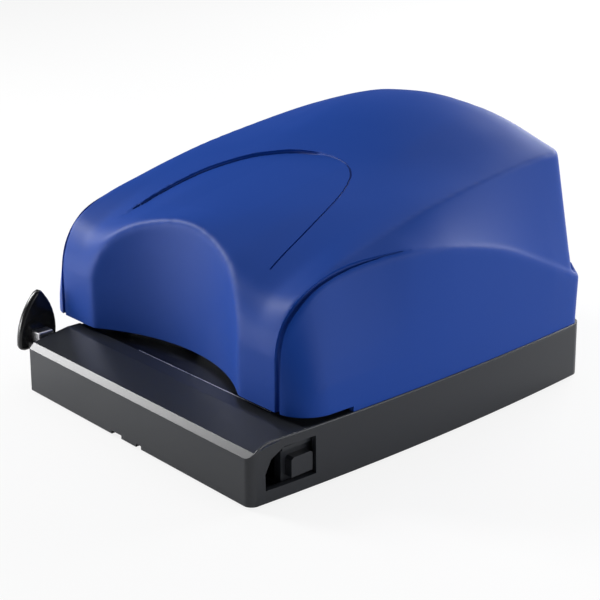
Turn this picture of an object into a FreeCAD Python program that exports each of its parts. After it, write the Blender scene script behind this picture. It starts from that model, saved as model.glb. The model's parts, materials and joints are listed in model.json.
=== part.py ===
import FreeCAD, Part
import Sketcher
import math
import os
import re

V = FreeCAD.Vector
X_AXIS, Y_AXIS, Z_AXIS = V(1, 0, 0), V(0, 1, 0), V(0, 0, 1)
doc = FreeCAD.newDocument("hole_punch")
sheet = doc.addObject("Spreadsheet::Sheet", "Sizes")

# ---------------------------------------------------------------- driving sizes, mm and degrees
# X runs left to right, Y front to back, Z up.  A name that ends in _y counts from the front face.
SIZES = dict(
    # black base
    base_depth=175.0, base_width=151.0, side_bulge=3.3, rear_corner=6.0, front_corner=3.5,
    base_wall=2.4, base_low=1.0, rim_top=23.0, deck_top=22.4, deck_thickness=2.2, base_draft=1.0,
    front_top=20.0, front_round=3.0, ledge_end_y=24.0,
    # bay beside the front ledge where the paper stop parks
    notch_width=18.3, notch_depth=46.0,
    # thumb recess in the right side
    recess_front_y=6.5, recess_back_y=27.5, recess_low=5.5, recess_high=19.5,
    # blue hood
    hood_front_y=21.5, hood_height=108.0, hood_wall=2.2, hood_corner=13.0, hood_lip=25.3,
    hood_low=23.2, pillar_top=62.0,
    groove_width=1.6, groove_depth=1.0, throat_end_y=45.0,
    screw_post_dia=8.0, front_post_y=64.0,
    # paper throat, dies and punches
    hole_spacing=80.0, punch_y=33.0, stop_y=45.0, punch_dia=5.5, die_clearance=0.1,
    die_front_y=24.5, die_back_y=65.0, die_top=22.8, die_thickness=2.0,
    frame_back_y=65.0, guide_low=25.4, guide_thickness=4.0, stroke=7.0, punch_tip=26.6,
    # moving yoke with its posts and springs
    post_dia=5.0, post_y=54.0, post_top=53.6, running_fit=0.05,
    yoke_low=44.0, yoke_thickness=4.0, pad_top=50.0, spring_wire=0.9, spring_turns=4.0,
    # cam shaft
    cam_y=56.0, cam_z=57.0, cam_width=6.0, cam_angle=150.0, shaft_dia=5.0,
    bearing_thickness=2.0, bush_dia=8.0,
    # gear train and motor
    tooth_module=0.8, wheel_teeth=38, pinion_teeth=10, train_drop=15.0, gear_width=4.0,
    mesh_left=2.5, plate_left=0.0, plate_thickness=1.5, axle_dia=4.0,
    motor_dia=27.6, motor_length=38.0, motor_shaft_dia=2.3,
    # paper guide
    rail_width=10.0, rail_thickness=2.4, rail_low=14.4, rail_y=11.0, rail_right=52.0,
    fin_inset=7.5, fin_thickness=4.6,
    # chip flap, battery bay, circuit board
    flap_back_y=47.0, flap_wall=1.6, flap_top=12.0, floor_thickness=1.8,
    cell_dia=14.3, cell_pitch=15.2, cell_rows=3, bay_front_y=72.0,
    hinge_y=45.8, hinge_z=2.2, hinge_pin=0.9, door_lip=1.5, foot_dia=11.0, screw_dia=3.0, gap=0.3,
)
for row, (alias, value) in enumerate(SIZES.items(), start=1):
    sheet.set("A%d" % row, alias)
    sheet.set("B%d" % row, repr(value))
    sheet.setAlias("B%d" % row, alias)
doc.recompute()

ALIAS = re.compile(r"\b(" + "|".join(sorted(SIZES, key=len, reverse=True)) + r")\b")
NODES = []

# places that follow from the sizes
DERIVED = dict(
    hood_rear_y="(base_depth - 1.5)", rear_post_y="(base_depth - 17)", crease_half="(base_width / 2 - 11)",
    alcove_half="(hole_spacing / 2 + 4)", alcove_depth="(0.17 * hole_spacing)",
    alcove_back_y="(hood_front_y + 0.17 * hole_spacing + hood_wall)",
    bearing_half="(hole_spacing / 2 + 12)", die_half="(hole_spacing / 2 + 14)",
    screw_post_x="(hole_spacing / 2 + 20)", post_half="(hole_spacing / 2 + 1)",
    plate_right="(mesh_left + 3 * gear_width + 6)",
    cam_half="(mesh_left + 3 * gear_width + plate_thickness + 12)",
    fin_x="(fin_inset - base_width / 2)", cell_length="(base_width / 2 - 25)",
    door_half="(base_width / 2 - 16.5)", bay_half="(base_width / 2 - 17.5)")
DERIVED_NAME = re.compile(r"\b(" + "|".join(sorted(DERIVED, key=len, reverse=True)) + r")\b")


def ex(text):
    """An expression on the sheet, from text that names the sizes by their bare aliases."""
    whole = DERIVED_NAME.sub(lambda found: DERIVED[found.group(1)], str(text))
    return ALIAS.sub(r"Sizes.\1", whole)


def front(text):
    """A distance from the front face, as an expression for a Y place."""
    return ex("-base_depth / 2 + (%s)" % text)


def bind(obj, **sizes):
    for name, text in sizes.items():
        obj.setExpression(name.replace("__", "."), text)
    return obj


def place(obj, x="0", y=None, z="0"):
    """Put an object's own origin at X, Y from the front face, and Z."""
    bind(obj, Placement__Base__x=ex(x), Placement__Base__z=ex(z))
    bind(obj, Placement__Base__y=front(y) if y is not None else ex("0"))
    return obj


def node(obj, name):
    """Register an object as one separate piece; its label names its file."""
    obj.Label = name
    NODES.append(obj)
    return obj


def block(name, x, y, z):
    """A box between two X, two Y (from the front face) and two Z limits."""
    box = doc.addObject("Part::Box", name)
    bind(box, Length=ex("(%s) - (%s)" % (x[1], x[0])))
    bind(box, Width=ex("(%s) - (%s)" % (y[1], y[0])))
    bind(box, Height=ex("(%s) - (%s)" % (z[1], z[0])))
    return place(box, x[0], y[0], z[0])


def rod(name, axis, radius, length, x="0", y="0", z="0"):
    """A cylinder that starts at a point and runs along +X, +Y or +Z."""
    turns = dict(X=FreeCAD.Rotation(Y_AXIS, 90), Y=FreeCAD.Rotation(X_AXIS, -90),
                 Z=FreeCAD.Rotation())
    cylinder = doc.addObject("Part::Cylinder", name)
    cylinder.Placement = FreeCAD.Placement(V(), turns[axis])
    bind(cylinder, Radius=ex(radius), Height=ex(length))
    return place(cylinder, x, y, z)


def fuse(name, *shapes):
    joined = doc.addObject("Part::MultiFuse", name)
    joined.Shapes = list(shapes)
    return joined


def cut(name, base, *tools):
    tool = tools[0] if len(tools) == 1 else fuse(name + "_tools", *tools)
    result = doc.addObject("Part::Cut", name)
    result.Base = base
    result.Tool = tool
    return result


def common(name, *shapes):
    result = doc.addObject("Part::MultiCommon", name)
    result.Shapes = list(shapes)
    return result


def group(name, *solids):
    """Separate like solids that share one node."""
    bundle = doc.addObject("Part::Compound", name)
    bundle.Links = list(solids)
    return bundle


PLANES = dict(
    XY=FreeCAD.Rotation(),
    XZ=FreeCAD.Rotation(X_AXIS, 90),
    YZ=FreeCAD.Rotation(V(1, 1, 1), 120),
)


def outline(name, plane, points):
    """A closed sketch of straight lines; every corner is tied to the sheet.
    Y is counted from the front face."""
    sketch = doc.addObject("Sketcher::SketchObject", name)
    sketch.Placement = FreeCAD.Placement(V(), PLANES[plane])
    count = len(points)
    for i in range(count):
        a, b = i * 1.0, i + 1.0
        sketch.addGeometry(Part.LineSegment(V(a, a * a, 0), V(b, b * b, 0)))
    for i in range(count):
        sketch.addConstraint(Sketcher.Constraint("Coincident", i, 2, (i + 1) % count, 1))
    for i, (u, v) in enumerate(points):
        texts = (ex(u), ex(v))
        if plane == "XY":
            texts = (ex(u), front(v))
        elif plane == "YZ":
            texts = (front(u), ex(v))
        for kind, text, tag in (("DistanceX", texts[0], "u"), ("DistanceY", texts[1], "v")):
            start = float(i + 1)
            rule = sketch.addConstraint(Sketcher.Constraint(kind, -1, 1, i, 1, start))
            sketch.renameConstraint(rule, "%s%d" % (tag, i))
            sketch.setExpression("Constraints.%s%d" % (tag, i), text)
    return sketch


def extrude(name, sketch, axis, low, high):
    """A sketch pushed along its own normal, from one place on that axis to another."""
    solid = doc.addObject("Part::Extrusion", name)
    solid.Base = sketch
    solid.DirMode = "Custom"
    solid.Dir = dict(X=X_AXIS, Y=Y_AXIS, Z=Z_AXIS)[axis]
    solid.Solid = True
    bind(solid, LengthFwd=ex("(%s) - (%s)" % (high, low)))
    where = dict(x="0", y=None, z="0")
    if axis == "Y":
        bind(solid, Placement__Base__y=front(low))
    else:
        bind(solid, **{"Placement__Base__" + axis.lower(): ex(low)})
    return solid


def plate(name, axis, low, high, points):
    """A flat piece: an outline and how far it runs along X, Y or Z."""
    plane = dict(X="YZ", Y="XZ", Z="XY")[axis]
    return extrude(name, outline(name + "_outline", plane, points), axis, low, high)


def side_x(y, inset="0"):
    """Half the machine's width at a distance from the front face, along the bowed side."""
    chord = "(base_depth * base_depth / 4 + side_bulge * side_bulge) / (2 * side_bulge)"
    reach = "(%s) - base_depth / 2" % y
    return "(base_width / 2 + side_bulge - (%s) - %s + sqrt((%s) * (%s) - (%s) * (%s)))" % (
        inset, chord, chord, chord, reach, reach)


def plan_block(name, inset, low, high, rear_round, front_round, draft="0", front_y="0", rear_y="base_depth"):
    """A body with the machine's plan: flat front and rear, sides that bow outwards."""
    body = doc.addObject("PartDesign::Body", name)
    sketch = body.newObject("Sketcher::SketchObject", name + "_plan")
    floor = [f for f in body.Origin.OriginFeatures if f.Role == "XY_Plane"][0]
    sketch.AttachmentSupport = [(floor, "")]
    sketch.MapMode = "FlatFace"
    bind(sketch, AttachmentOffset__Base__z=ex(low))
    half_x, half_y, bow = 75.0, 87.0, 3.0
    corners = [V(-half_x, -half_y, 0), V(half_x, -half_y, 0), V(half_x, half_y, 0), V(-half_x, half_y, 0)]
    sketch.addGeometry(Part.LineSegment(corners[0], corners[1]))
    sketch.addGeometry(Part.Arc(corners[1], V(half_x + bow, 0, 0), corners[2]))
    sketch.addGeometry(Part.LineSegment(corners[2], corners[3]))
    sketch.addGeometry(Part.Arc(corners[3], V(-half_x - bow, 0, 0), corners[0]))
    for a, b in ((0, 1), (1, 2), (2, 3), (3, 0)):
        sketch.addConstraint(Sketcher.Constraint("Coincident", a, 2, b, 1))
    front_end, rear_end = "(%s) + (%s)" % (front_y, inset), "(%s) - (%s)" % (rear_y, inset)
    front_x, rear_x = side_x(front_end, inset), side_x(rear_end, inset)
    rules = [("DistanceX", 0, 1, ex("-" + front_x)), ("DistanceY", 0, 1, front(front_end)),
             ("DistanceX", 0, 2, ex(front_x)), ("DistanceY", 0, 2, front(front_end)),
             ("DistanceX", 2, 1, ex(rear_x)), ("DistanceY", 2, 1, front(rear_end)),
             ("DistanceX", 2, 2, ex("-" + rear_x)), ("DistanceY", 2, 2, front(rear_end))]
    for i, (kind, line, end, text) in enumerate(rules):
        rule = sketch.addConstraint(Sketcher.Constraint(kind, -1, 1, line, end, 1.0 + i))
        sketch.renameConstraint(rule, "corner%d" % i)
        sketch.setExpression("Constraints.corner%d" % i, text)
    # a chord of the body's depth with this rise has this radius
    radius = "(base_depth * base_depth / 4 + side_bulge * side_bulge) / (2 * side_bulge) - (%s)" % inset
    for arc in (1, 3):
        rule = sketch.addConstraint(Sketcher.Constraint("Radius", arc, 1000.0))
        sketch.renameConstraint(rule, "bow%d" % arc)
        sketch.setExpression("Constraints.bow%d" % arc, ex(radius))
    pad = body.newObject("PartDesign::Pad", name + "_pad")
    pad.Profile = sketch
    bind(pad, Length=ex("(%s) - (%s)" % (high, low)))
    if draft != "0":
        bind(pad, TaperAngle=ex("-(%s)" % draft))
    doc.recompute()
    last = pad
    for tag, radius, side in (("rear", rear_round, 1), ("front", front_round, -1)):
        if radius == "0":
            continue
        edges = []
        middle = last.Shape.BoundBox.Center.y
        for i, edge in enumerate(last.Shape.Edges, start=1):
            ends = [v.Point for v in edge.Vertexes]
            upright = len(ends) == 2 and abs(ends[0].z - ends[1].z) > 1 and abs(ends[0].y - ends[1].y) < 5
            if upright and (ends[0].y - middle) * side > 0:
                edges.append("Edge%d" % i)
        fillet = body.newObject("PartDesign::Fillet", name + "_%s_corners" % tag)
        fillet.Base = (last, edges)
        bind(fillet, Radius=ex(radius))
        doc.recompute()
        last = fillet
    body.Tip = last
    return body


# ================================================================ black base
base_outer = plan_block("base_outer", "0", "base_low", "rim_top", "rear_corner", "front_corner", "base_draft")
base_side = plate("base_side", "X", "-base_width", "base_width", [
    ("-5", "base_low"), ("base_depth + 5", "base_low"), ("base_depth + 5", "rim_top"),
    ("ledge_end_y - 6", "rim_top"), ("front_round * 0.8", "front_top + front_round * 0.13"),
    ("front_round * 0.25", "front_top - front_round * 0.12"), ("0", "front_top - front_round * 0.6"),
    ("-5", "front_top - front_round * 0.6")])
# on the right the rim stands above the sloping ledge and rounds down to it near the front
rim_side = plate("rim_side", "X", "0", "base_width", [
    ("base_wall", "front_top - 2"), ("ledge_end_y", "front_top - 2"), ("ledge_end_y", "rim_top"),
    ("9", "rim_top"), ("6.5", "rim_top - 0.4"), ("4.5", "rim_top - 1.3"), ("base_wall", "front_top + 0.2")])
rim_inset = plan_block("rim_inset", "base_wall", "front_top - 3", "rim_top + 3", "rear_corner",
                       "front_corner")
rim_ear = cut("rim_ear", common("rim_band", base_outer, rim_side), rim_inset)
base_form = fuse("base_form", common("base_block", base_outer, base_side), rim_ear)
cavity_plan = plan_block("cavity_plan", "base_wall", "base_low - 1", "rim_top", "rear_corner", "front_corner")
cavity_side = plate("cavity_side", "X", "-base_width", "base_width", [
    ("-5", "0"), ("base_depth + 5", "0"), ("base_depth + 5", "deck_top - deck_thickness"),
    ("ledge_end_y - 6", "deck_top - deck_thickness"), ("0", "front_top - deck_thickness"),
    ("-5", "front_top - deck_thickness")])
notch_shell = block("notch_shell", ("-base_width", "notch_width + base_wall - base_width / 2"),
                    ("-5", "notch_depth + base_wall"), ("0", "rim_top + 5"))
cavity_open = common("cavity_open", cavity_plan, cavity_side)
cavity = cut("cavity", cavity_open, notch_shell)
notch = block("notch", ("-base_width", "notch_width - base_width / 2"), ("-5", "notch_depth"),
              ("-1", "rim_top + 5"))
# the deck lies a little below the rim, so the rim frames the hood and the throat
deck_inset = plan_block("deck_inset", "base_wall", "deck_top", "rim_top + 3", "rear_corner", "front_corner")
deck_zone = block("deck_zone", ("-base_width", "base_width"), ("ledge_end_y", "base_depth + 5"),
                  ("deck_top", "rim_top + 3"))
deck_sink = common("deck_sink", deck_inset, deck_zone)
die_seat = block("die_seat", ("-die_half - gap / 2", "die_half + gap / 2"),
                 ("die_front_y - gap / 2", "die_back_y + gap / 2"),
                 ("die_top - die_thickness", "rim_top + 3"))
chip_holes = [rod("chip_hole_%s" % side, "Z", "punch_dia", "deck_top", "%s * hole_spacing / 2" % sign,
                  "punch_y",
                  "base_low") for side, sign in (("left", "-1"), ("right", "1"))]
thumb_recess = plate("thumb_recess", "X", "base_width / 2 - 8", "base_width / 2 + side_bulge + 2", [
    ("recess_front_y", "recess_low"), ("recess_back_y", "recess_low"), ("recess_back_y", "recess_high"),
    ("recess_front_y + 8", "recess_high"), ("recess_front_y + 2.5", "recess_high - 3"),
    ("recess_front_y", "recess_high - 8")])
rail_slot = block("rail_slot", ("-base_width / 2", "notch_width + base_wall + 2 - base_width / 2"),
                  ("rail_y - rail_width / 2 - gap", "rail_y + rail_width / 2 + gap"),
                  ("rail_low - gap", "rail_low + rail_thickness + gap"))
inlet_hole = block("inlet_hole", ("-50", "-40"), ("base_depth - 6", "base_depth + 3"), ("5.5", "16.5"))
door_mouth = block("door_mouth", ("-door_half - gap", "door_half + gap"),
                   ("base_depth - 8", "base_depth + 3"),
                   ("0", "base_low + floor_thickness + gap"))
catch_notches = [block("catch_notch_%d" % i, (low, high), ("-2", "base_wall + 1"), ("0", "base_low + 1.3"))
                 for i, (low, high) in enumerate((("1", "6"), ("17", "19")))]
base_shell = cut("base_shell", base_form, cavity, notch, deck_sink, die_seat, thumb_recess, rail_slot,
                 inlet_hole, door_mouth, *catch_notches)

# posts and ribs inside the base
rail_bridges = [block("rail_bridge_%d" % i, (x, x + " + 6"),
                      ("base_wall - 0.5", "rail_y + rail_width / 2 + 1.5"),
                      ("rail_low - gap - 1.6", "rail_low - gap")) for i, x in enumerate(("-46", "24"))]
rail_hooks = [block("rail_hook_%d" % i, (x, x + " + 6"),
                    ("rail_y + rail_width / 2 + gap", "rail_y + rail_width / 2 + 1.5"),
                    ("rail_low - gap - 1.6", "deck_top - 1")) for i, x in enumerate(("-46", "24"))]
# a thick pad under the dies takes the punching load, with bosses for the frame's screws
die_pad = block("die_pad", ("-die_half - 2", "die_half + 2"), ("die_front_y - 2", "die_back_y + 2"),
                ("deck_top - deck_thickness - 1.8", "die_top - die_thickness"))
frame_screw_spots = [("5.4 - bearing_half", "61"), ("bearing_half - 5.4", "61")]
frame_bosses = [rod("frame_boss_%d" % i, "Z", "3.6", "die_top - die_thickness - 12.5", x, y, "12.5")
                for i, (x, y) in enumerate(frame_screw_spots)]
floor_screw_spots = [("9.5 - base_width / 2", "56"), ("base_width / 2 - 9.5", "56"),
                     ("9.5 - base_width / 2", "base_depth - 10"), ("base_width / 2 - 9.5", "base_depth - 10")]
floor_posts = [rod("floor_post_%d" % i, "Z", "4", "deck_top - 1 - base_low - floor_thickness", x, y,
                   "base_low + floor_thickness") for i, (x, y) in enumerate(floor_screw_spots)]
bay_walls = [block("bay_wall_%s" % side, ("%s * bay_half - 0.8" % sign, "%s * bay_half + 0.8" % sign),
                   ("bay_front_y - 2.4", "bay_front_y + cell_rows * cell_pitch + 1.8"),
                   ("base_low + floor_thickness + gap", "deck_top - 1"))
             for side, sign in (("left", "-1"), ("right", "1"))]
bay_ends = [block("bay_end_0", ("-bay_half", "bay_half"), ("bay_front_y - 2.4", "bay_front_y - 0.8"),
                  ("base_low + floor_thickness + gap", "deck_top - 1")),
            block("bay_end_1", ("-bay_half", "bay_half"), ("bay_front_y + cell_rows * cell_pitch + 0.2",
                                               "bay_front_y + cell_rows * cell_pitch + 1.8"),
                  ("base_low + floor_thickness + gap", "deck_top - 1"))]
# ribs that guide the release button behind the thumb recess
button_ribs = [block("button_rib_0", ("base_width / 2 - 12.9", "base_width / 2 - 11.3"), ("14", "30"),
                     ("base_low + floor_thickness + 1", "deck_top - 1")),
               block("button_rib_1", ("base_width / 2 - 12.9", "base_width / 2 - 1"), ("15", "29"),
                     ("16.8", "18.2")),
               block("button_rib_2", ("base_width / 2 - 12.9", "base_width / 2 - 1"), ("15", "29"),
                     ("3.4", "4.2"))]
board_left, board_front = "5.5 - base_width / 2", "base_depth - 83"
board_spots = [(board_left + " + 4", board_front + " + 4"), (board_left + " + 44", board_front + " + 4"),
               (board_left + " + 4", board_front + " + 54"), (board_left + " + 44", board_front + " + 54")]
board_low = "deck_top + 5"
board_posts = [rod("board_post_%d" % i, "Z", "2.5", "6", x, y, "deck_top - 1")
               for i, (x, y) in enumerate(board_spots)]
# sockets for the pins of the chip flap: the notch wall on the left, a lug on the right
flap_left, flap_right = "notch_width + base_wall + 0.5 - base_width / 2", "base_width / 2 - 13.5"
hinge_lug = block("hinge_lug", (flap_right + " + gap", flap_right + " + 2.6"),
                  ("hinge_y - 2.2", "hinge_y + 1.2"),
                  ("base_low + 0.1", "deck_top - deck_thickness + 0.3"))
hinge_lug_left = block("hinge_lug_left", (flap_left + " - 2.6", flap_left + " - gap"),
                       ("hinge_y - 2.2", "hinge_y + 1.2"), ("base_low + 0.1",
                                                            "deck_top - deck_thickness + 0.3"))
hinge_bore = rod("hinge_bore", "X", "hinge_pin + running_fit", "(%s) - (%s) + 3.4" % (flap_right, flap_left),
                 flap_left + " - 1.7", "hinge_y", "hinge_z")
inlet_rib = block("inlet_rib", ("-48", "-42"), ("base_depth - 13", "base_depth - 1"),
                  ("16.2", "deck_top - 1"))
base_joined = fuse("base_joined", base_shell, die_pad, *frame_bosses, *rail_bridges, *rail_hooks,
                   *floor_posts,
                   *bay_walls, *bay_ends, *button_ribs, *board_posts, hinge_lug, hinge_lug_left, inlet_rib)
cover_screw_spots = [("-screw_post_x", "front_post_y"), ("screw_post_x", "front_post_y"),
                     ("-screw_post_x", "rear_post_y"), ("screw_post_x", "rear_post_y")]
board_drills = [rod("board_drill_%d" % i, "Z", "1.05", "8", x, y, "deck_top")
                for i, (x, y) in enumerate(board_spots)]
floor_drills = [rod("floor_drill_%d" % i, "Z", "screw_dia / 2 - gap / 2", "12", x, y, "base_low")
                for i, (x, y) in enumerate(floor_screw_spots)]
frame_drills = [rod("frame_drill_%d" % i, "Z", "screw_dia / 2 - gap / 2", "9", x, y, "14")
                for i, (x, y) in enumerate(frame_screw_spots)]
base_drills = [rod("base_drill_%d" % i, "Z", "screw_dia / 2 + gap / 2", "deck_thickness + 4", x, y,
                   "deck_top - deck_thickness - 1") for i, (x, y) in enumerate(cover_screw_spots)]
node(cut("base_housing_cut", base_joined, hinge_bore, *chip_holes, *base_drills, *board_drills,
         *floor_drills, *frame_drills),
     "base_housing")

# ================================================================ blue hood
def profile(scale, points):
    """A smooth curve through (distance from the front face, value) points, both given in percent."""
    whole = dict(hood_height=sheet.hood_height, half_width=sheet.base_width / 2)[scale]
    line = Part.BSplineCurve()
    line.interpolate([V(y * sheet.base_depth / 100, value * whole / 100, 0) for y, value in points])
    return line


def at(line, y):
    """The value of a profile at one distance from the front face."""
    low, high = line.FirstParameter, line.LastParameter
    for _ in range(40):
        middle = (low + high) / 2
        if line.value(middle).x < y:
            low = middle
        else:
            high = middle
    return line.value(low).y


# the hood's form, in percent: places of its depth, heights of its height, widths of its half width
LANES = [
    (0.0, profile("hood_height", [
        (5.71, 65), (19.43, 69.81), (34.29, 74.54), (48, 78.52), (57.14, 80.93), (61.71, 83.89),
        (68.57, 90.74), (75.43, 96.48), (82.86, 99.81), (91.43, 100), (102.86, 100)])),
    (0.4, profile("hood_height", [
        (5.71, 61.11), (12.29, 64.07), (17.14, 66.11), (22.86, 67.96), (34.29, 72.04), (48, 76.67),
        (55.43, 78.98), (61.71, 82.96), (68.57, 89.26), (75.43, 94.44), (82.86, 97.96), (91.43, 98.89),
        (102.86, 98.61)])),
    (0.62, profile("hood_height", [
        (5.71, 47.22), (9.14, 52.31), (12.29, 56.67), (14.29, 58.89), (17.14, 61.3), (20.57, 63.33),
        (27.43, 66.39), (40.57, 71.67), (51.43, 75.56), (60.57, 80.37), (68.57, 85.74), (75.43, 90.56),
        (82.86, 94.91), (91.43, 96.48), (102.86, 96.67)])),
    (0.8, profile("hood_height", [
        (5.71, 39.81), (9.14, 46.76), (12.29, 52.78), (14.29, 56.11), (16, 58.24), (19.43, 60.74),
        (27.43, 64.81), (34.29, 67.87), (43.43, 71.67), (52.57, 75.28), (60.57, 78.7), (68.57, 82.96),
        (75.43, 87.41), (82.86, 91.67), (91.43, 93.7), (102.86, 94.07)])),
    (0.92, profile("hood_height", [
        (5.71, 38.89), (9.14, 46.3), (12.29, 52.59), (14.29, 56.3), (16, 58.52), (19.43, 61.3),
        (27.43, 65.93), (34.29, 69.17), (43.43, 73.52), (52.57, 76.94), (60.57, 79.44), (68.57, 82.04),
        (75.43, 85.19), (82.86, 88.52), (91.43, 90.56), (102.86, 91.3)])),
    (1.0, profile("hood_height", [
        (5.71, 38.89), (9.14, 46.3), (12.29, 52.59), (14.29, 56.39), (16, 58.89), (19.43, 61.85),
        (27.43, 66.85), (34.29, 70.19), (43.43, 74.81), (52.57, 78.15), (60.57, 80), (68.57, 81.3),
        (75.43, 82.31), (82.86, 83.33), (91.43, 84.26), (102.86, 85.19)])),
]
# the top edge of the proud cheek: its height, and how far out it lies
CHEEK_TOP = profile("hood_height", [
    (5.71, 35.19), (9.14, 43.06), (12.29, 50.19), (14.29, 54.07), (17.71, 58.33), (21.71, 62.22),
    (28, 65.37), (35.43, 67.22), (43.43, 68.06), (56, 65.37), (70.86, 58.89), (85.71, 48.15),
    (102.86, 35.19)])
CHEEK_OUT = profile("half_width", [
    (5.71, 86.75), (17.71, 88.08), (28, 89.8), (35.43, 93.38), (43.43, 98.15), (56, 100.79),
    (102.86, 101.46)])
STATIONS = [5.71, 9.14, 12.29, 14.29, 16, 19.43, 22.86, 28, 35.43, 43.43, 52.57, 61.71, 68.57, 75.43,
            82.86, 92.57, 102.86]


def plan_half(y):
    """Half the machine's width at a distance from the front face, as a number."""
    rise, chord = sheet.side_bulge, sheet.base_depth
    radius = (chord * chord / 4 + rise * rise) / (2 * rise)
    return sheet.base_width / 2 + rise - radius + math.sqrt(radius ** 2 - (y - chord / 2) ** 2)


def hood_section(y, inset):
    """One cross-section of the hood: two sides, two cheek ledges, two flanks and the crown."""
    foot = plan_half(y) - inset
    out, top = at(CHEEK_OUT, y) - inset, at(CHEEK_TOP, y) - inset
    crown = [(lane * (sheet.base_width / 2 - 11), at(line, y) - inset) for lane, line in LANES]
    crown[-1] = (crown[-1][0] - inset, crown[-1][1])
    place_y = y - sheet.base_depth / 2
    low, knee = 0.0, sheet.hood_low + 4

    def at_x(points):
        return [V(x, place_y, z) for x, z in points]

    side = at_x([(foot - 0.4, low), (foot - 0.6, knee), (foot - 0.6 - (foot - out) * 0.28,
                                                         knee + (top - knee) * 0.6),
                 (out, top)])
    ledge, crease = V(out - sheet.groove_depth, place_y, top + 0.2), V(crown[-1][0], place_y, crown[-1][1])
    crown_line = at_x([(x, z) for x, z in reversed(crown)] + [(-x, z) for x, z in crown[1:]])

    def smooth(points):
        line = Part.BSplineCurve()
        line.interpolate(points)
        return line.toShape()

    def other(point):
        return V(-point.x, point.y, point.z)

    edges = [Part.makeLine(other(side[0]), side[0]), smooth(side), Part.makeLine(side[-1], ledge),
             Part.makeLine(ledge, crease), smooth(crown_line), Part.makeLine(other(crease), other(ledge)),
             Part.makeLine(other(ledge), other(side[-1])), smooth([other(p) for p in reversed(side)])]
    return Part.Wire(edges)


def hood_solid(tag, inset, low):
    """The hood's form, pulled in all over by one distance."""
    distance = sheet.hood_wall if inset == "hood_wall" else 0.0
    form = doc.addObject("Part::Feature", "hood_form_" + tag)
    form.Shape = Part.makeLoft([hood_section(y * sheet.base_depth / 100, distance) for y in STATIONS], True,
                               False)
    plan = plan_block("hood_plan_" + tag, inset, low, "rim_top + 100", "rear_corner",
                      "hood_corner - (%s)" % inset,
                      "0", "hood_front_y", "hood_rear_y")
    side = plate("hood_side_" + tag, "X", "-base_width", "base_width", [
        ("hood_rear_y + 5", low), ("hood_rear_y + 1 - (%s)" % inset, "43"),
        ("hood_rear_y - 2.5 - (%s)" % inset, "47.5 - (%s) / 2" % inset),
        ("hood_rear_y - 6.5 - (%s)" % inset, "50"), ("hood_rear_y - 13 - (%s)" % inset, "100"),
        ("hood_rear_y - 17 - (%s)" % inset, "106 - (%s)" % inset), ("hood_rear_y - 26", "130"),
        ("hood_front_y - 5", "130"), ("hood_front_y - 5", low)])
    scoop_radius = "(alcove_half * alcove_half + alcove_depth * alcove_depth) / (2 * alcove_depth)"
    scoop = rod("alcove_" + tag, "Z", scoop_radius + " + (%s)" % inset, "150", "0",
                "hood_front_y + alcove_depth - %s" % scoop_radius, "-5")
    whole = common("hood_whole_" + tag, form, plan, side)
    return cut("hood_solid_" + tag, whole, scoop)


hood_outer = hood_solid("outer", "0", "hood_low")
hood_inner = hood_solid("inner", "hood_wall", "hood_low - 5")
hood_shell = cut("hood_shell", hood_outer, hood_inner)
throat_gap = block("throat_gap", ("-base_width", "base_width"), ("hood_front_y - 5", "throat_end_y"),
                   ("hood_low - 5", "hood_lip"))
pillar_grooves = [block("pillar_groove_%s" % side, ("%s * crease_half - groove_width / 2" % sign,
                                                    "%s * crease_half + groove_width / 2" % sign),
                        ("hood_front_y - 2", "hood_front_y + groove_depth"), ("hood_low", "pillar_top - 6"))
                  for side, sign in (("left", "-1"), ("right", "1"))]
screw_posts = [rod("screw_post_%d" % i, "Z", "screw_post_dia / 2", "90", x, y, "hood_low - 0.6")
               for i, (x, y) in enumerate(cover_screw_spots)]
trimmed_posts = [common("trimmed_post_%d" % i, post, hood_outer) for i, post in enumerate(screw_posts)]
post_drills = [rod("post_drill_%d" % i, "Z", "screw_dia / 2 - gap / 2", "12", x, y, "hood_low - 1")
               for i, (x, y) in enumerate(cover_screw_spots)]
hood_joined = fuse("hood_joined", hood_shell, *trimmed_posts)
node(cut("top_cover_cut", hood_joined, throat_gap, *pillar_grooves, *post_drills), "top_cover")

# ================================================================ dies, frame and punches
SIDES = (("left", "-1"), ("right", "1"))
die_blank = block("die_blank", ("-die_half", "die_half"), ("die_front_y", "die_back_y"),
                  ("die_top - die_thickness", "die_top"))
die_holes = [rod("die_hole_%s" % side, "Z", "punch_dia / 2 + die_clearance", "die_thickness + 2",
                 "%s * hole_spacing / 2" % sign, "punch_y",
                 "die_top - die_thickness - 1") for side, sign in SIDES]
die_screw_holes = [rod("die_screw_hole_%d" % i, "Z", "screw_dia / 2 + gap / 2", "die_thickness + 2", x, y,
                       "die_top - die_thickness - 1") for i, (x, y) in enumerate(frame_screw_spots)]
node(cut("die_plate_cut", die_blank, *die_holes, *die_screw_holes), "die_plate")

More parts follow.
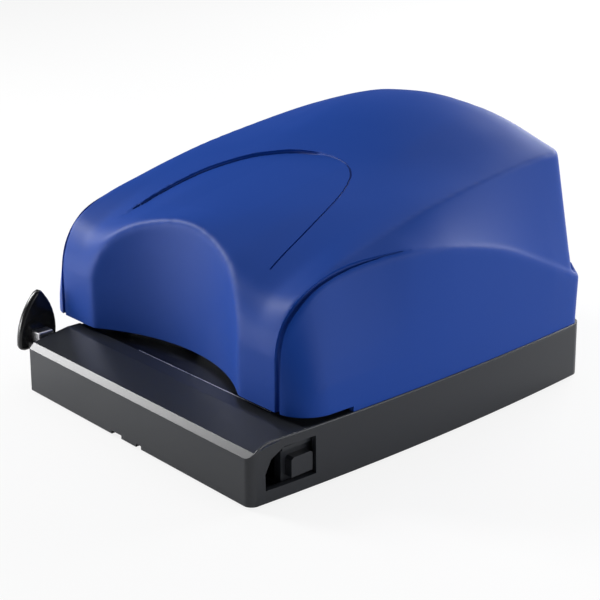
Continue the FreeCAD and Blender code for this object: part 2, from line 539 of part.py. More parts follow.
# the frame carries the punch guides over the throat and the bearings of the cam shaft
guide_top = "guide_low + guide_thickness"
frame_plate = plate("frame_plate", "Z", "guide_low", guide_top, [
    ("-bearing_half", "29.2"), ("15.5 - bearing_half", "29.2"), ("24 - bearing_half", "35"),
    ("-14", "alcove_back_y + 1.7"),
    ("14", "alcove_back_y + 1.7"), ("bearing_half - 24", "35"), ("bearing_half - 15.5", "29.2"),
    ("bearing_half", "29.2"),
    ("bearing_half", "frame_back_y"), ("-bearing_half", "frame_back_y")])
stop_bar = block("stop_bar", ("-bearing_half", "bearing_half"), ("stop_y", "frame_back_y"),
                 ("die_top", "guide_low + 1"))
cheek_shape = [("46", "guide_low + 1"), ("66", "guide_low + 1"), ("66", "cam_z"), ("61", "cam_z + 6.5"),
               ("51", "cam_z + 6.5"), ("46", "cam_z")]
frame_cheeks = [plate("frame_cheek_left", "X", "-bearing_half", "bearing_thickness - bearing_half",
                      cheek_shape),
                plate("frame_cheek_right", "X", "bearing_half - bearing_thickness", "bearing_half",
                      cheek_shape)]
sensor_ears = [block("sensor_ear_%d" % i, (x, x + " + 1.4"), ("47.5", "52.5"), ("guide_low + 1", "35"))
               for i, x in enumerate(("-18", "-7.4"))]
frame_blank = fuse("frame_blank", frame_plate, stop_bar, *frame_cheeks, *sensor_ears)
punch_guides = [rod("punch_guide_%s" % side, "Z", "punch_dia / 2 + running_fit", "guide_thickness + 4",
                    "%s * hole_spacing / 2" % sign, "punch_y", "guide_low - 2") for side, sign in SIDES]
post_holes = [rod("post_hole_%s" % side, "Z", "post_dia / 2", "30", "%s * post_half" % sign, "post_y",
                  "die_top - 5")
              for side, sign in SIDES]
bearing_holes = rod("bearing_holes", "X", "bush_dia / 2", "2 * bearing_half + 10", "-bearing_half - 5",
                    "cam_y", "cam_z")
sensor_slot = block("sensor_slot", ("-16.4", "-7.6"), ("36", "53"), ("guide_low - 4", guide_top + " + 2"))
frame_screw_holes = [rod("frame_screw_hole_%d" % i, "Z", "screw_dia / 2 + gap / 2", "12", x, y, "die_top - 1")
                     for i, (x, y) in enumerate(frame_screw_spots)]
sensor_pin_hole = rod("sensor_pin_hole", "X", "1", "20", "-20", "50", "33")
node(cut("punch_frame_cut", frame_blank, sensor_pin_hole, *punch_guides, *post_holes, bearing_holes,
         sensor_slot,
         *frame_screw_holes), "punch_frame")
for side, sign in SIDES:
    pin_body = rod("punch_body_%s" % side, "Z", "punch_dia / 2",
                   "yoke_low + yoke_thickness + 2.5 - punch_tip",
                   "%s * hole_spacing / 2" % sign, "punch_y", "punch_tip")
    grind = plate("punch_grind_%s" % side, "Y", "punch_y - punch_dia", "punch_y + punch_dia", [
        ("%s * hole_spacing / 2 - punch_dia / 2 + 0.4" % sign, "punch_tip - 1"),
        ("%s * hole_spacing / 2 + punch_dia / 2 - 0.4" % sign, "punch_tip - 1"),
        ("%s * hole_spacing / 2" % sign, "punch_tip + 1.8")])
    node(cut("punch_cut_%s" % side, pin_body, grind), "punch_pin_%s" % side)

# ---------------------------------------------------------------- yoke that drives both punches
yoke_top = "yoke_low + yoke_thickness"
yoke_plate = plate("yoke_plate", "Z", "yoke_low", yoke_top, [
    ("5 - bearing_half", "31"), ("8 - bearing_half", "28.6"), ("15.5 - bearing_half", "28.6"),
    ("18 - bearing_half", "31"), ("22 - bearing_half", "alcove_back_y + 1.3"),
    ("bearing_half - 22", "alcove_back_y + 1.3"),
    ("bearing_half - 18", "31"), ("bearing_half - 15.5", "28.6"), ("bearing_half - 8", "28.6"),
    ("bearing_half - 5", "31"), ("bearing_half - 5", "62"), ("cam_half - 5", "62"),
    ("cam_half - 5", "alcove_back_y + 5.1"),
    ("5 - cam_half", "alcove_back_y + 5.1"), ("5 - cam_half", "62"), ("5 - bearing_half", "62")])
yoke_pads = [block("yoke_pad_%s" % side, ("%s * cam_half - cam_width / 2 - 0.5" % sign,
                                          "%s * cam_half + cam_width / 2 + 0.5" % sign),
                   ("cam_y - 6", "cam_y + 6"), (yoke_top, "pad_top")) for side, sign in SIDES]
yoke_bosses = [rod("yoke_boss_%s" % side, "Z", "post_dia / 2 + 2.5", "pad_top - yoke_low",
                   "%s * post_half" % sign, "post_y", "yoke_low") for side, sign in SIDES]
punch_sockets = [rod("punch_socket_%s" % side, "Z", "punch_dia / 2 + 1.6", "yoke_thickness + 2.5",
                     "%s * hole_spacing / 2" % sign, "punch_y", "yoke_low") for side, sign in SIDES]
yoke_blank = fuse("yoke_blank", yoke_plate, *yoke_pads, *yoke_bosses, *punch_sockets)
yoke_bores = [rod("yoke_bore_%s" % side, "Z", "post_dia / 2 + running_fit", "20", "%s * post_half" % sign,
                  "post_y", "yoke_low - 5") for side, sign in SIDES]
punch_bores = [rod("punch_bore_%s" % side, "Z", "punch_dia / 2", "20", "%s * hole_spacing / 2" % sign,
                   "punch_y", "yoke_low - 5") for side, sign in SIDES]
node(cut("yoke_cut", yoke_blank, *yoke_bores, *punch_bores), "punch_yoke")
clips = []
for side, sign in SIDES:
    x = "%s * hole_spacing / 2" % sign
    washer = rod("clip_disc_%s" % side, "Z", "punch_dia / 2 + 1.4", "0.8", x, "punch_y", yoke_top + " + 2.5")
    clips.append(washer)
node(group("punch_caps_group", *clips), "punch_caps")
posts = [rod("guide_post_%s" % side, "Z", "post_dia / 2", "post_top - die_top", "%s * post_half" % sign,
             "post_y",
             "die_top") for side, sign in SIDES]
node(group("guide_posts_group", *posts), "guide_posts")


def coil(radius, length, turns, wire, steps=12):
    """A compression spring of six-sided wire that just clears its seats at z = 0 and at its length."""
    low = wire / 2 + 0.25
    sections = []
    for i in range(int(turns) * steps + 1):
        turn = 2 * math.pi * i / steps
        middle = low + (length - 2 * low) * i / (turns * steps)
        ring = [(radius + wire / 2 * math.cos(k * math.pi / 3), wire / 2 * math.sin(k * math.pi / 3))
                for k in range(7)]
        sections.append(Part.makePolygon([V(r * math.cos(turn), r * math.sin(turn), middle + up)
                                          for r, up in ring]))
    return Part.makeLoft(sections, True, True)


for side, sign in SIDES:
    spring = doc.addObject("Part::Feature", "return_spring_%s" % side)
    spring.Shape = coil(sheet.post_dia / 2 + sheet.spring_wire / 2 + sheet.gap,
                        sheet.yoke_low - sheet.guide_low - sheet.guide_thickness,
                        sheet.spring_turns, sheet.spring_wire)
    place(spring, "%s * post_half" % sign, "post_y", guide_top)
    node(spring, "return_spring_%s" % side)

# ================================================================ cam shaft
# An involute cam lifts a flat pad by the same amount for every degree it turns.
rise = math.radians(sheet.cam_angle)
cam_rate = sheet.stroke / rise
cam_base = sheet.cam_z - sheet.pad_top - 0.05


def cam_reach(turn):
    """Distance of the cam's tangent line from the shaft, and its rate, at one cam angle."""
    if turn <= rise:
        return cam_base + cam_rate * turn, cam_rate
    rest = 2 * math.pi - rise
    s = (turn - rise) / rest
    top, foot = cam_base + sheet.stroke, cam_base
    value = (top * (2 * s ** 3 - 3 * s ** 2 + 1) + foot * (3 * s ** 2 - 2 * s ** 3)
             + cam_rate * rest * (s ** 3 - 2 * s ** 2 + s) + cam_rate * rest * (s ** 3 - s ** 2))
    slope = ((top - foot) * (6 * s ** 2 - 6 * s) / rest
             + cam_rate * (3 * s ** 2 - 4 * s + 1) + cam_rate * (3 * s ** 2 - 2 * s))
    return value, slope


def cam_outline(steps=48):
    """The curve whose tangents have those reaches; its first tangent rests on the pad."""
    points = []
    for i in range(steps):
        turn = 2 * math.pi * i / steps
        value, slope = cam_reach(turn)
        # the shaft turns the cam by +angle about +X, so the cam's own angle runs the other way
        a = -math.pi / 2 - turn
        points.append(V(0, value * math.cos(a) + slope * math.sin(a),
                        value * math.sin(a) - slope * math.cos(a)))
    line = Part.BSplineCurve()
    line.interpolate(Points=points, PeriodicFlag=True)
    return Part.Face(Part.Wire(line.toShape()))


cams = []
for side, sign in SIDES:
    blank = doc.addObject("Part::Feature", "cam_blank_%s" % side)
    blank.Shape = cam_outline().extrude(V(sheet.cam_width, 0, 0))
    place(blank, "%s * cam_half - cam_width / 2" % sign, "cam_y", "cam_z")
    hub = rod("cam_hub_%s" % side, "X", "shaft_dia / 2 + 2", "cam_width + 4",
              "%s * cam_half - cam_width / 2 - 2" % sign,
              "cam_y", "cam_z")
    bore = rod("cam_bore_%s" % side, "X", "shaft_dia / 2", "30", "%s * cam_half - 15" % sign, "cam_y",
               "cam_z")
    cams.append(cut("cam_%s" % side, fuse("cam_body_%s" % side, blank, hub), bore))
node(group("press_cams_group", *cams), "press_cams")
node(rod("cam_shaft_rod", "X", "shaft_dia / 2", "2 * bearing_half + 6", "-bearing_half - 3", "cam_y",
         "cam_z"),
     "cam_shaft")
bushes = []
for side, sign in SIDES:
    start = "-bearing_half - 1" if sign == "-1" else "bearing_half - bearing_thickness - 1"
    ring = rod("bush_%s" % side, "X", "bush_dia / 2", "bearing_thickness + 2", start, "cam_y", "cam_z")
    hole = rod("bush_hole_%s" % side, "X", "shaft_dia / 2 + running_fit", "bearing_thickness + 6",
               start + " - 2",
               "cam_y", "cam_z")
    bushes.append(cut("bush_ring_%s" % side, ring, hole))
node(group("shaft_bushes_group", *bushes), "shaft_bushes")

# ================================================================ gear train
module = sheet.tooth_module
stage = module * (sheet.wheel_teeth + sheet.pinion_teeth) / 2 + 0.05
drop = math.radians(sheet.train_drop)
AXLES = [(sheet.cam_y + n * stage * math.cos(drop), sheet.cam_z - n * stage * math.sin(drop))
         for n in range(4)]


def toothed(teeth, width, turned):
    """A spur gear along +X; one tooth points along the angle `turned`, counted from +Y to +Z."""
    pitch = module * teeth / 2
    rings = [(pitch - 0.95 * module, 0.62), (pitch, 0.42), (pitch + 0.8 * module, 0.2)]
    points = []
    for i in range(teeth):
        middle = turned + 2 * math.pi * i / teeth
        flank = [(r, part * math.pi * module / 2 / r) for r, part in rings]
        for r, half_angle in flank:
            points.append(V(0, r * math.cos(middle - half_angle), r * math.sin(middle - half_angle)))
        for r, half_angle in reversed(flank):
            points.append(V(0, r * math.cos(middle + half_angle), r * math.sin(middle + half_angle)))
    points.append(points[0])
    return Part.Face(Part.makePolygon(points)).extrude(V(width, 0, 0))


def gear_at(name, teeth, width, turned, x, axle):
    gear = doc.addObject("Part::Feature", name)
    gear.Shape = toothed(int(teeth), width, turned)
    y, z = AXLES[axle]
    return place(gear, str(x), repr(y), repr(z))


# layers of meshing wheels, from the cam shaft's wheel outwards to the motor pinion
width = sheet.gear_width
layer = [sheet.mesh_left + n * (width + 1.5) for n in range(3)]
big, small = sheet.wheel_teeth, sheet.pinion_teeth
to_next, to_last = -drop, math.pi - drop
half_small = math.pi / small
cam_wheel_blank = gear_at("cam_wheel_teeth", big, width, to_next, layer[0], 0)
cam_wheel_hub = rod("cam_wheel_hub", "X", "shaft_dia / 2 + 2.5", "gear_width + 3", "mesh_left - 1.5",
                    "cam_y", "cam_z")
cam_wheel_bore = rod("cam_wheel_bore", "X", "shaft_dia / 2", "gear_width + 20", "mesh_left - 8", "cam_y",
                     "cam_z")
node(cut("cam_wheel_cut", fuse("cam_wheel_body", cam_wheel_blank, cam_wheel_hub), cam_wheel_bore),
     "cam_wheel")
for n, name in ((1, "second_gear"), (2, "first_gear")):
    y, z = (repr(v) for v in AXLES[n])
    pinion = gear_at(name + "_pinion", small, width + 1.5, to_last + half_small, layer[n - 1], n)
    wheel = gear_at(name + "_wheel", big, width, to_next, layer[n], n)
    bore = rod(name + "_bore", "X", "axle_dia / 2 + running_fit", "40", str(layer[0] - 5), y, z)
    node(cut(name + "_cut", fuse(name + "_body", pinion, wheel), bore), name)
motor_y, motor_z = (repr(v) for v in AXLES[3])
motor_pinion_blank = gear_at("motor_pinion_teeth", small, width, to_last + half_small, layer[2], 3)
motor_pinion_bore = rod("motor_pinion_bore", "X", "motor_shaft_dia / 2", "20", str(layer[2] - 5), motor_y,
                        motor_z)
node(cut("motor_pinion_cut", motor_pinion_blank, motor_pinion_bore), "motor_pinion")
node(rod("motor_shaft_rod", "X", "motor_shaft_dia / 2",
         "plate_right + plate_thickness + 1 - %r" % (layer[2] - 0.5),
         repr(layer[2] - 0.5), motor_y, motor_z), "motor_shaft")

# plates that hold the wheels between them
plate_shape = [("46", guide_top), ("die_back_y + gap", guide_top), ("die_back_y + gap", "deck_top"),
               ("126", "deck_top"), ("126", "cam_z - 9"), ("118", "cam_z + 4"), ("106", "cam_z + 7"),
               ("92", "cam_z + 9"),
               ("74", "cam_z + 11.5"), ("62", "cam_z + 13"), ("50", "cam_z + 11"), ("46", "cam_z + 3")]
axle_spots = [tuple(repr(v) for v in AXLES[n]) for n in (1, 2)]
spacer_spots = [("62", "34"), ("82", "28.5"), ("122", "27.5"), ("112.5", "59")]
for side, low in (("left", "plate_left - plate_thickness"), ("right", "plate_right")):
    blank = plate("gear_plate_blank_%s" % side, "X", low, "%s + plate_thickness" % low, plate_shape)
    drills = [rod("plate_shaft_%s" % side, "X", "shaft_dia / 2 + 0.4", "10", low + " - 3", "cam_y", "cam_z")]
    drills += [rod("plate_axle_%s_%d" % (side, i), "X", "axle_dia / 2", "10", low + " - 3", y, z)
               for i, (y, z) in enumerate(axle_spots)]
    drills += [rod("plate_spacer_%s_%d" % (side, i), "X", "1.3", "10", low + " - 3", y, z)
               for i, (y, z) in enumerate(spacer_spots)]
    if side == "right":
        drills.append(rod("plate_motor_hole", "X", "3.2", "10", low + " - 3", motor_y, motor_z))
        drills += [rod("plate_motor_screw_%d" % i, "X", "1.3", "10", low + " - 3", motor_y,
                       "%s + %s * 8" % (motor_z, sign)) for i, sign in enumerate(("-1", "1"))]
    node(cut("gear_plate_cut_%s" % side, blank, *drills), "gear_plate_%s" % side)
node(group("gear_axles_group", *[rod("gear_axle_%d" % i, "X", "axle_dia / 2",
                                     "plate_right - plate_left + 2 * plate_thickness",
                                     "plate_left - plate_thickness", y, z)
                                 for i, (y, z) in enumerate(axle_spots)]), "gear_axles")
node(group("plate_spacers_group", *[rod("plate_spacer_%d" % i, "X", "2.6", "plate_right - plate_left",
                                        "plate_left",
                                        y, z) for i, (y, z) in enumerate(spacer_spots)]), "plate_spacers")
plate_screws = []
for i, (y, z) in enumerate(spacer_spots):
    for side, x in (("left", "plate_left - plate_thickness - 1.6"),
                    ("right", "plate_right + plate_thickness")):
        plate_screws.append(rod("plate_screw_%s_%d" % (side, i), "X", "2.4", "1.6", x, y, z))
node(group("plate_screws_group", *plate_screws), "plate_screws")

# ---------------------------------------------------------------- motor
motor_face = "plate_right + plate_thickness"
motor_can = rod("motor_can", "X", "motor_dia / 2", "motor_length", motor_face, motor_y, motor_z)
motor_flats = [block("motor_flat_%d" % i, (motor_face + " - 5", motor_face + " + motor_length + 5"),
                     (motor_y + " - 20", motor_y + " + 20"), limits)
               for i, limits in enumerate(((motor_z + " + motor_dia / 2 - 1.8", motor_z + " + 30"),
                                           (motor_z + " - 30", motor_z + " - motor_dia / 2 + 1.8")))]
motor_boss = rod("motor_boss", "X", "3", "plate_thickness", "plate_right", motor_y, motor_z)
motor_tail = rod("motor_tail", "X", "4", "2", motor_face + " + motor_length", motor_y, motor_z)
motor_hole = rod("motor_hole", "X", "motor_shaft_dia / 2 + running_fit", "plate_thickness + 2",
                 "plate_right - 0.5",
                 motor_y, motor_z)
node(cut("motor_cut", fuse("motor_body", cut("motor_rounds", motor_can, *motor_flats), motor_boss,
                           motor_tail),
         motor_hole), "motor")
node(group("motor_screws_group", *[rod("motor_screw_%d" % i, "X", "2.1", "1.4", "plate_right - 1.4", motor_y,
                                       "%s + %s * 8" % (motor_z, sign)) for i, sign in enumerate(("-1",
                                                                                                  "1"))]),
     "motor_screws")

# ================================================================ paper guide
rail_bar = block("rail_bar", ("fin_x - fin_thickness / 2 + 1", "rail_right"),
                 ("rail_y - rail_width / 2", "rail_y + rail_width / 2"),
                 ("rail_low", "rail_low + rail_thickness"))
rail_ticks = [block("rail_tick_%d" % i, ("%d" % x, "%d + 0.6" % x),
                    ("rail_y - rail_width / 2 - 1", "rail_y - 2"),
                    ("rail_low + rail_thickness - 0.4", "rail_low + rail_thickness + 1"))
              for i, x in enumerate((-40, -22, -8, 12, 34))]
node(cut("guide_rail_cut", rail_bar, *rail_ticks), "guide_rail")
# the stop is a leaf-shaped fin: a slanting front edge, a steep back edge and a blunt tip
fin_low = "rail_low - 1.2"
fin_front = rod("fin_front", "X", "28.6", "fin_thickness", "fin_x - fin_thickness / 2", "30.7", "15.3")
fin_back = rod("fin_back", "X", "25.5", "fin_thickness", "fin_x - fin_thickness / 2", "-4", "19.4")
fin_limits = block("fin_limits", ("fin_x - 10", "fin_x + 10"), ("0", "40"), (fin_low, "36.8"))
fin_leaf = common("fin_leaf", fin_front, fin_back, fin_limits)
fin_socket = block("fin_socket", ("fin_x", "fin_x + 6.5"), ("rail_y - rail_width / 2 - 1.4",
                                                            "rail_y + rail_width / 2 + 1.4"),
                   (fin_low, "rail_low + rail_thickness + 1.4"))
fin_pocket = block("fin_pocket", ("fin_x - fin_thickness / 2 + 1", "fin_x + 20"),
                   ("rail_y - rail_width / 2", "rail_y + rail_width / 2"),
                   ("rail_low", "rail_low + rail_thickness"))
node(cut("guide_stop_cut", fuse("guide_stop_body", fin_leaf, fin_socket), fin_pocket), "guide_stop")

# ================================================================ chip flap and its release
flap_floor = block("flap_floor", (flap_left, "base_width / 2 - base_wall - 0.6"),
                   ("base_wall + 1.4", "hinge_y"),
                   ("base_low", "base_low + floor_thickness"))
flap_barrel = rod("flap_barrel", "X", "hinge_z - base_low", "(%s) - (%s)" % (flap_right, flap_left),
                  flap_left,
                  "hinge_y", "hinge_z")
flap_pins = rod("flap_pins", "X", "hinge_pin", "(%s) - (%s) + 3" % (flap_right, flap_left),
                flap_left + " - 1.5",
                "hinge_y", "hinge_z")
flap_lug_gap = block("flap_lug_gap", (flap_right, "base_width / 2"), ("hinge_y - 3", "hinge_y + 3"),
                     ("0", "6"))
flap_rim = block("flap_rim", (flap_left + " + 1.5", flap_right), ("base_wall + 3", "hinge_y"),
                 ("base_low + 0.5", "flap_top"))
flap_hollow = block("flap_hollow", (flap_left + " + 1.5 + flap_wall", flap_right + " - flap_wall"),
                    ("base_wall + 3 + flap_wall", "hinge_y - flap_wall"),
                    ("base_low + floor_thickness", "flap_top + 5"))
flap_tray = cut("flap_tray", fuse("flap_box", flap_floor, flap_rim, flap_barrel), flap_hollow, flap_lug_gap)
node(fuse("chip_flap_body", flap_tray, flap_pins), "chip_flap")
button_key = plate("button_key", "X", "base_width / 2 - 4.9", "base_width / 2 + 0.9", [
    ("17.5", "7"), ("27", "7"), ("27", "13.5"), ("26", "14.2"), ("18.5", "14.2"), ("17.5", "13.5")])
button_flange = block("button_flange", ("base_width / 2 - 5.5", "base_width / 2 - 2.3"), ("15.4", "29"),
                      ("4.5", "16.5"))
button_peg = rod("button_peg", "X", "1.2", "3.7", "base_width / 2 - 9", "22.2", "10.5")
node(fuse("release_button_body", button_key, button_flange, button_peg), "release_button")
button_spring = doc.addObject("Part::Feature", "button_spring")
button_spring.Shape = coil(2.0, 5.8, 4.0, 0.6)
button_spring.Placement = FreeCAD.Placement(V(), FreeCAD.Rotation(Y_AXIS, 90))
place(button_spring, "base_width / 2 - 11.3", "22.2", "10.5")
node(button_spring, "button_spring")

# ================================================================ underside
floor_form = plan_block("floor_form", "base_wall + 2 * gap", "base_low", "base_low + floor_thickness",
                        "rear_corner", "0", "0", "flap_back_y + 0.4")
floor_notch = block("floor_notch", ("-base_width", "notch_width + base_wall + gap - base_width / 2"),
                    ("0", "notch_depth + base_wall + gap"), ("0", "base_low + 10"))
door_opening = block("door_opening", ("door_lip - door_half", "door_half - door_lip"),
                     ("bay_front_y - 4", "base_depth + 5"), ("0", "base_low + 10"))
door_runner = block("door_runner", ("-door_half - gap", "door_half + gap"),
                    ("bay_front_y - 4", "base_depth + 5"),
                    ("base_low + 0.8", "base_low + 10"))
floor_holes = [rod("floor_hole_%d" % i, "Z", "screw_dia / 2 + gap / 2", "8", x, y, "base_low - 2")
               for i, (x, y) in enumerate(floor_screw_spots)]
floor_sinks = [rod("floor_sink_%d" % i, "Z", "screw_dia", "1.1", x, y, "base_low - 0.1")
               for i, (x, y) in enumerate(floor_screw_spots)]
node(cut("bottom_plate_cut", floor_form, floor_notch, door_opening, door_runner, *floor_holes, *floor_sinks),
     "bottom_plate")
door_back = block("door_back", ("-door_half", "door_half"), ("bay_front_y - 4 + gap", "base_depth - 0.3"),
                  ("base_low + 0.9", "base_low + floor_thickness"))
door_face = block("door_face", ("door_lip + gap - door_half", "door_half - door_lip - gap"),
                  ("bay_front_y - 4 + gap", "base_depth - 0.3"), ("base_low", "base_low + floor_thickness"))
door_panel = fuse("door_panel", door_back, door_face)
door_grips = [block("door_grip_%d" % i, ("-14", "14"), ("base_depth - %d" % y, "base_depth - %d + 1.2" % y),
                    ("base_low - 1", "base_low + 0.5")) for i, y in enumerate((10, 13, 16, 19))]
node(cut("battery_door_cut", door_panel, *door_grips), "battery_door")
foot_spots = [("25.5 - base_width / 2", "58"), ("base_width / 2 - 25.5", "58"),
              ("9.5 - base_width / 2", "base_depth - 25"), ("base_width / 2 - 9.5", "base_depth - 25")]
node(group("rubber_feet_group", *[rod("foot_%d" % i, "Z", "foot_dia / 2", "base_low", x, y, "0")
                                  for i, (x, y) in enumerate(foot_spots)]), "rubber_feet")

# ================================================================ batteries and their contacts
cell_z = "base_low + floor_thickness + gap + cell_dia / 2"
cells, springs_and_studs = [], []
for row in range(sheet.cell_rows):
    y = "bay_front_y + (%d + 0.5) * cell_pitch" % row
    for side, start in (("left", "-3 - cell_length"), ("right", "3")):
        body = rod("cell_%s_%d" % (side, row), "X", "cell_dia / 2", "cell_length - 1", start + " + 1", y,
                   cell_z)
        button = rod("cell_nub_%s_%d" % (side, row), "X", "2.6", "2", start, y, cell_z)
        cells.append(fuse("cell_body_%s_%d" % (side, row), body, button))
    for i, (low, high) in enumerate((("0.8 - bay_half", "-3 - cell_length"),
                                     ("3 + cell_length", "bay_half - 0.8"))):
        springs_and_studs.append(rod("contact_%d_%d" % (row, i), "X", "3.4", "(%s) - (%s)" % (high, low),
                                     low, y, cell_z))
    springs_and_studs.append(rod("contact_mid_%d" % row, "X", "3.4", "6", "-3", y, cell_z))
node(group("battery_cells_group", *cells), "battery_cells")
node(group("battery_contacts_group", *springs_and_studs), "battery_contacts")

# ================================================================ sensor, board, inlet
lever_shape = [("48.4", "34.6"), ("53.6", "36.2"), ("53.6", "34.8"), ("51.6", "31.4"), ("49.6", "31.2"),
               ("46.2", "24.2"), ("43.6", "24.2"), ("43.6", "25.4")]
lever_blank = plate("lever_blank", "X", "-14", "-10", lever_shape)
lever_bore = rod("lever_bore", "X", "1 + running_fit", "10", "-17", "50", "33")
node(cut("sensor_lever_cut", lever_blank, lever_bore), "sensor_lever")
node(rod("sensor_pin_rod", "X", "1", "12.4", "-18.4", "50", "33"), "sensor_pin")
switch_body = block("switch_body", ("-20", "-7"), ("54.6", "60.6"), (guide_top, guide_top + " + 6.4"))
switch_button = block("switch_key", ("-13", "-11"), ("53.9", "56"), ("33", "34.2"))
node(fuse("sensor_switch_body", switch_body, switch_button), "sensor_switch")
board_blank = block("board_blank", (board_left, board_left + " + 48"), (board_front, board_front + " + 58"),
                    (board_low, board_low + " + 1.6"))
board_holes = [rod("board_hole_%d" % i, "Z", "1.3", "6", x, y, "deck_top + 3")
               for i, (x, y) in enumerate(board_spots)]
node(cut("circuit_board_cut", board_blank, *board_holes), "circuit_board")
board_top = board_low + " + 1.6"
capacitor = rod("capacitor", "Z", "5", "12", board_left + " + 14", board_front + " + 16", board_top)
chips = [block(name, (board_left + " + %s" % x[0], board_left + " + %s" % x[1]),
               (board_front + " + %s" % y[0], board_front + " + %s" % y[1]),
               (board_top, board_top + " + %s" % tall))
         for name, x, y, tall in (("driver_chip", (26, 36), (26, 34), 2.2),
                                  ("plug_header", (30, 42), (10, 15), 7),
                                  ("relay_block", (8, 24), (32, 44), 9))]
node(group("board_parts_group", capacitor, *chips), "board_parts")
node(group("board_screws_group", *[rod("board_screw_%d" % i, "Z", "2", "1.4", x, y, board_top)
                                   for i, (x, y) in enumerate(board_spots)]), "board_screws")
inlet_body = block("inlet_body", ("-49.7", "-40.3"), ("base_depth - 14", "base_depth - 0.4"), ("5.8", "16.2"))
inlet_bore = rod("inlet_bore", "Y", "2.85", "10", "-45", "base_depth - 9.4", "11")
inlet_pin = rod("inlet_pin", "Y", "1.05", "9", "-45", "base_depth - 10", "11")
node(fuse("power_inlet_body", cut("inlet_shell", inlet_body, inlet_bore), inlet_pin), "power_inlet")

# ================================================================ screws
def screw(name, x, y, head_low, head_high, shank_low, shank_high, shank="screw_dia / 2 - gap / 2"):
    head = rod(name + "_head", "Z", "screw_dia - 0.2", "(%s) - (%s)" % (head_high, head_low), x, y, head_low)
    stem = rod(name + "_stem", "Z", shank, "(%s) - (%s)" % (shank_high, shank_low), x, y, shank_low)
    return fuse(name, head, stem)


under_deck = "deck_top - deck_thickness"
node(group("cover_screws_group", *[screw("cover_screw_%d" % i, x, y, under_deck + " - 1.8", under_deck,
                                         under_deck + " - 1", "hood_low + 10")
                                   for i, (x, y) in enumerate(cover_screw_spots)]), "cover_screws")
node(group("frame_screws_group", *[screw("frame_screw_%d" % i, x, y, guide_top, guide_top + " + 1.8", "14.5",
                                         guide_top + " + 1") for i, (x, y) in enumerate(frame_screw_spots)]),
     "frame_screws")
node(group("base_screws_group", *[screw("base_screw_%d" % i, x, y, "base_low", "base_low + 1",
                                        "base_low + 0.5", "12")
                                  for i, (x, y) in enumerate(floor_screw_spots)]), "base_screws")

# ================================================================ check and write
doc.recompute()
failed = [item.Name for item in doc.Objects if "Invalid" in item.State or "Error" in item.State]
for piece in NODES:
    if piece.Shape.isNull() or not piece.Shape.isValid():
        failed.append(piece.Label)
if failed:
    raise RuntimeError("failed objects: " + ", ".join(failed))
os.makedirs("parts", exist_ok=True)
for piece in NODES:
    piece.Shape.exportStep("parts/%s.step" % piece.Label)
print("wrote %d pieces" % len(NODES))
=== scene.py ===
import bpy
import json
import math
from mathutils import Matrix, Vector

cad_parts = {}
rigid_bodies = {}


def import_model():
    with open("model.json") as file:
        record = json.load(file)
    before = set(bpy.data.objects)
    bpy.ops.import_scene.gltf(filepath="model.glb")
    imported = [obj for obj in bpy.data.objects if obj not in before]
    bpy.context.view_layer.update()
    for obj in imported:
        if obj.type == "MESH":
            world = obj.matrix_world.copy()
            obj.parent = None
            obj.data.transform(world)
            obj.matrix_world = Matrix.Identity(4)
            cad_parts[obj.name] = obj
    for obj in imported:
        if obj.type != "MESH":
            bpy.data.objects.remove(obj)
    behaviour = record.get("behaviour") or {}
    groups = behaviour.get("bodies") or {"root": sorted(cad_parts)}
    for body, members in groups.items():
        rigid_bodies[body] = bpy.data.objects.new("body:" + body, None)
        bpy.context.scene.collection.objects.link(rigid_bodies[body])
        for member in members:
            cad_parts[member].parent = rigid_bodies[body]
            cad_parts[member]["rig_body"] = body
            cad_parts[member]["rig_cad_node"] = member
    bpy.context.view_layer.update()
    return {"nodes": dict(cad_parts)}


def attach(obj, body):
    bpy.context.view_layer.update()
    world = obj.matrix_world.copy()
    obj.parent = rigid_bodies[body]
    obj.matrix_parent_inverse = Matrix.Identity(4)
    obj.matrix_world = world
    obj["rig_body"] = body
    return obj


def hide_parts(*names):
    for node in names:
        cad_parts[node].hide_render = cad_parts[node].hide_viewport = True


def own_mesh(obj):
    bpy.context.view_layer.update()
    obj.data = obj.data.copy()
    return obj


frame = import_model()

# ================================================================ camera
# The machine is seen from the front right and 20 degrees above the desk, 550 mm away.
mm = 0.001
camera_distance = 0.55
camera_turn, camera_rise = math.radians(47.9), math.radians(20.0)
machine_middle = Vector((16.5 * mm, -12.1 * mm, 40 * mm))
forward = Vector((-math.sin(camera_turn) * math.cos(camera_rise),
                  math.cos(camera_turn) * math.cos(camera_rise), -math.sin(camera_rise)))
bpy.ops.object.camera_add(location=machine_middle - forward * camera_distance)
camera = bpy.context.object
camera.rotation_euler = forward.to_track_quat("-Z", "Y").to_euler()
camera.data.lens = 86.66
camera.data.sensor_width = 36.0
camera.data.clip_start = 0.01
bpy.context.scene.camera = camera

# ================================================================ desk and studio lamps
# A pale desk under a white studio wall.  The wall is bright only where the camera sees it, so the
# glossy plastic mirrors the lamps and not the wall.
desk_glow, room_glow = 0.85, 0.11
bpy.ops.mesh.primitive_plane_add(size=8, location=(0, 0, 0))
desk = bpy.context.object
desk.name = "desk"
desk_paint = bpy.data.materials.new("desk_paint")
desk_paint.use_nodes = True
paint_nodes, paint_links = desk_paint.node_tree.nodes, desk_paint.node_tree.links
paint_nodes["Principled BSDF"].inputs["Base Color"].default_value = (0.8, 0.8, 0.8, 1)
paint_nodes["Principled BSDF"].inputs["Roughness"].default_value = 0.7
desk_seen = paint_nodes.new("ShaderNodeEmission")
desk_seen.inputs["Color"].default_value = (1, 1, 1, 1)
desk_rays = paint_nodes.new("ShaderNodeLightPath")
desk_share = paint_nodes.new("ShaderNodeMath")
desk_share.operation = "MULTIPLY"
desk_share.inputs[1].default_value = desk_glow
desk_mix = paint_nodes.new("ShaderNodeMixShader")
paint_links.new(desk_rays.outputs["Is Camera Ray"], desk_share.inputs[0])
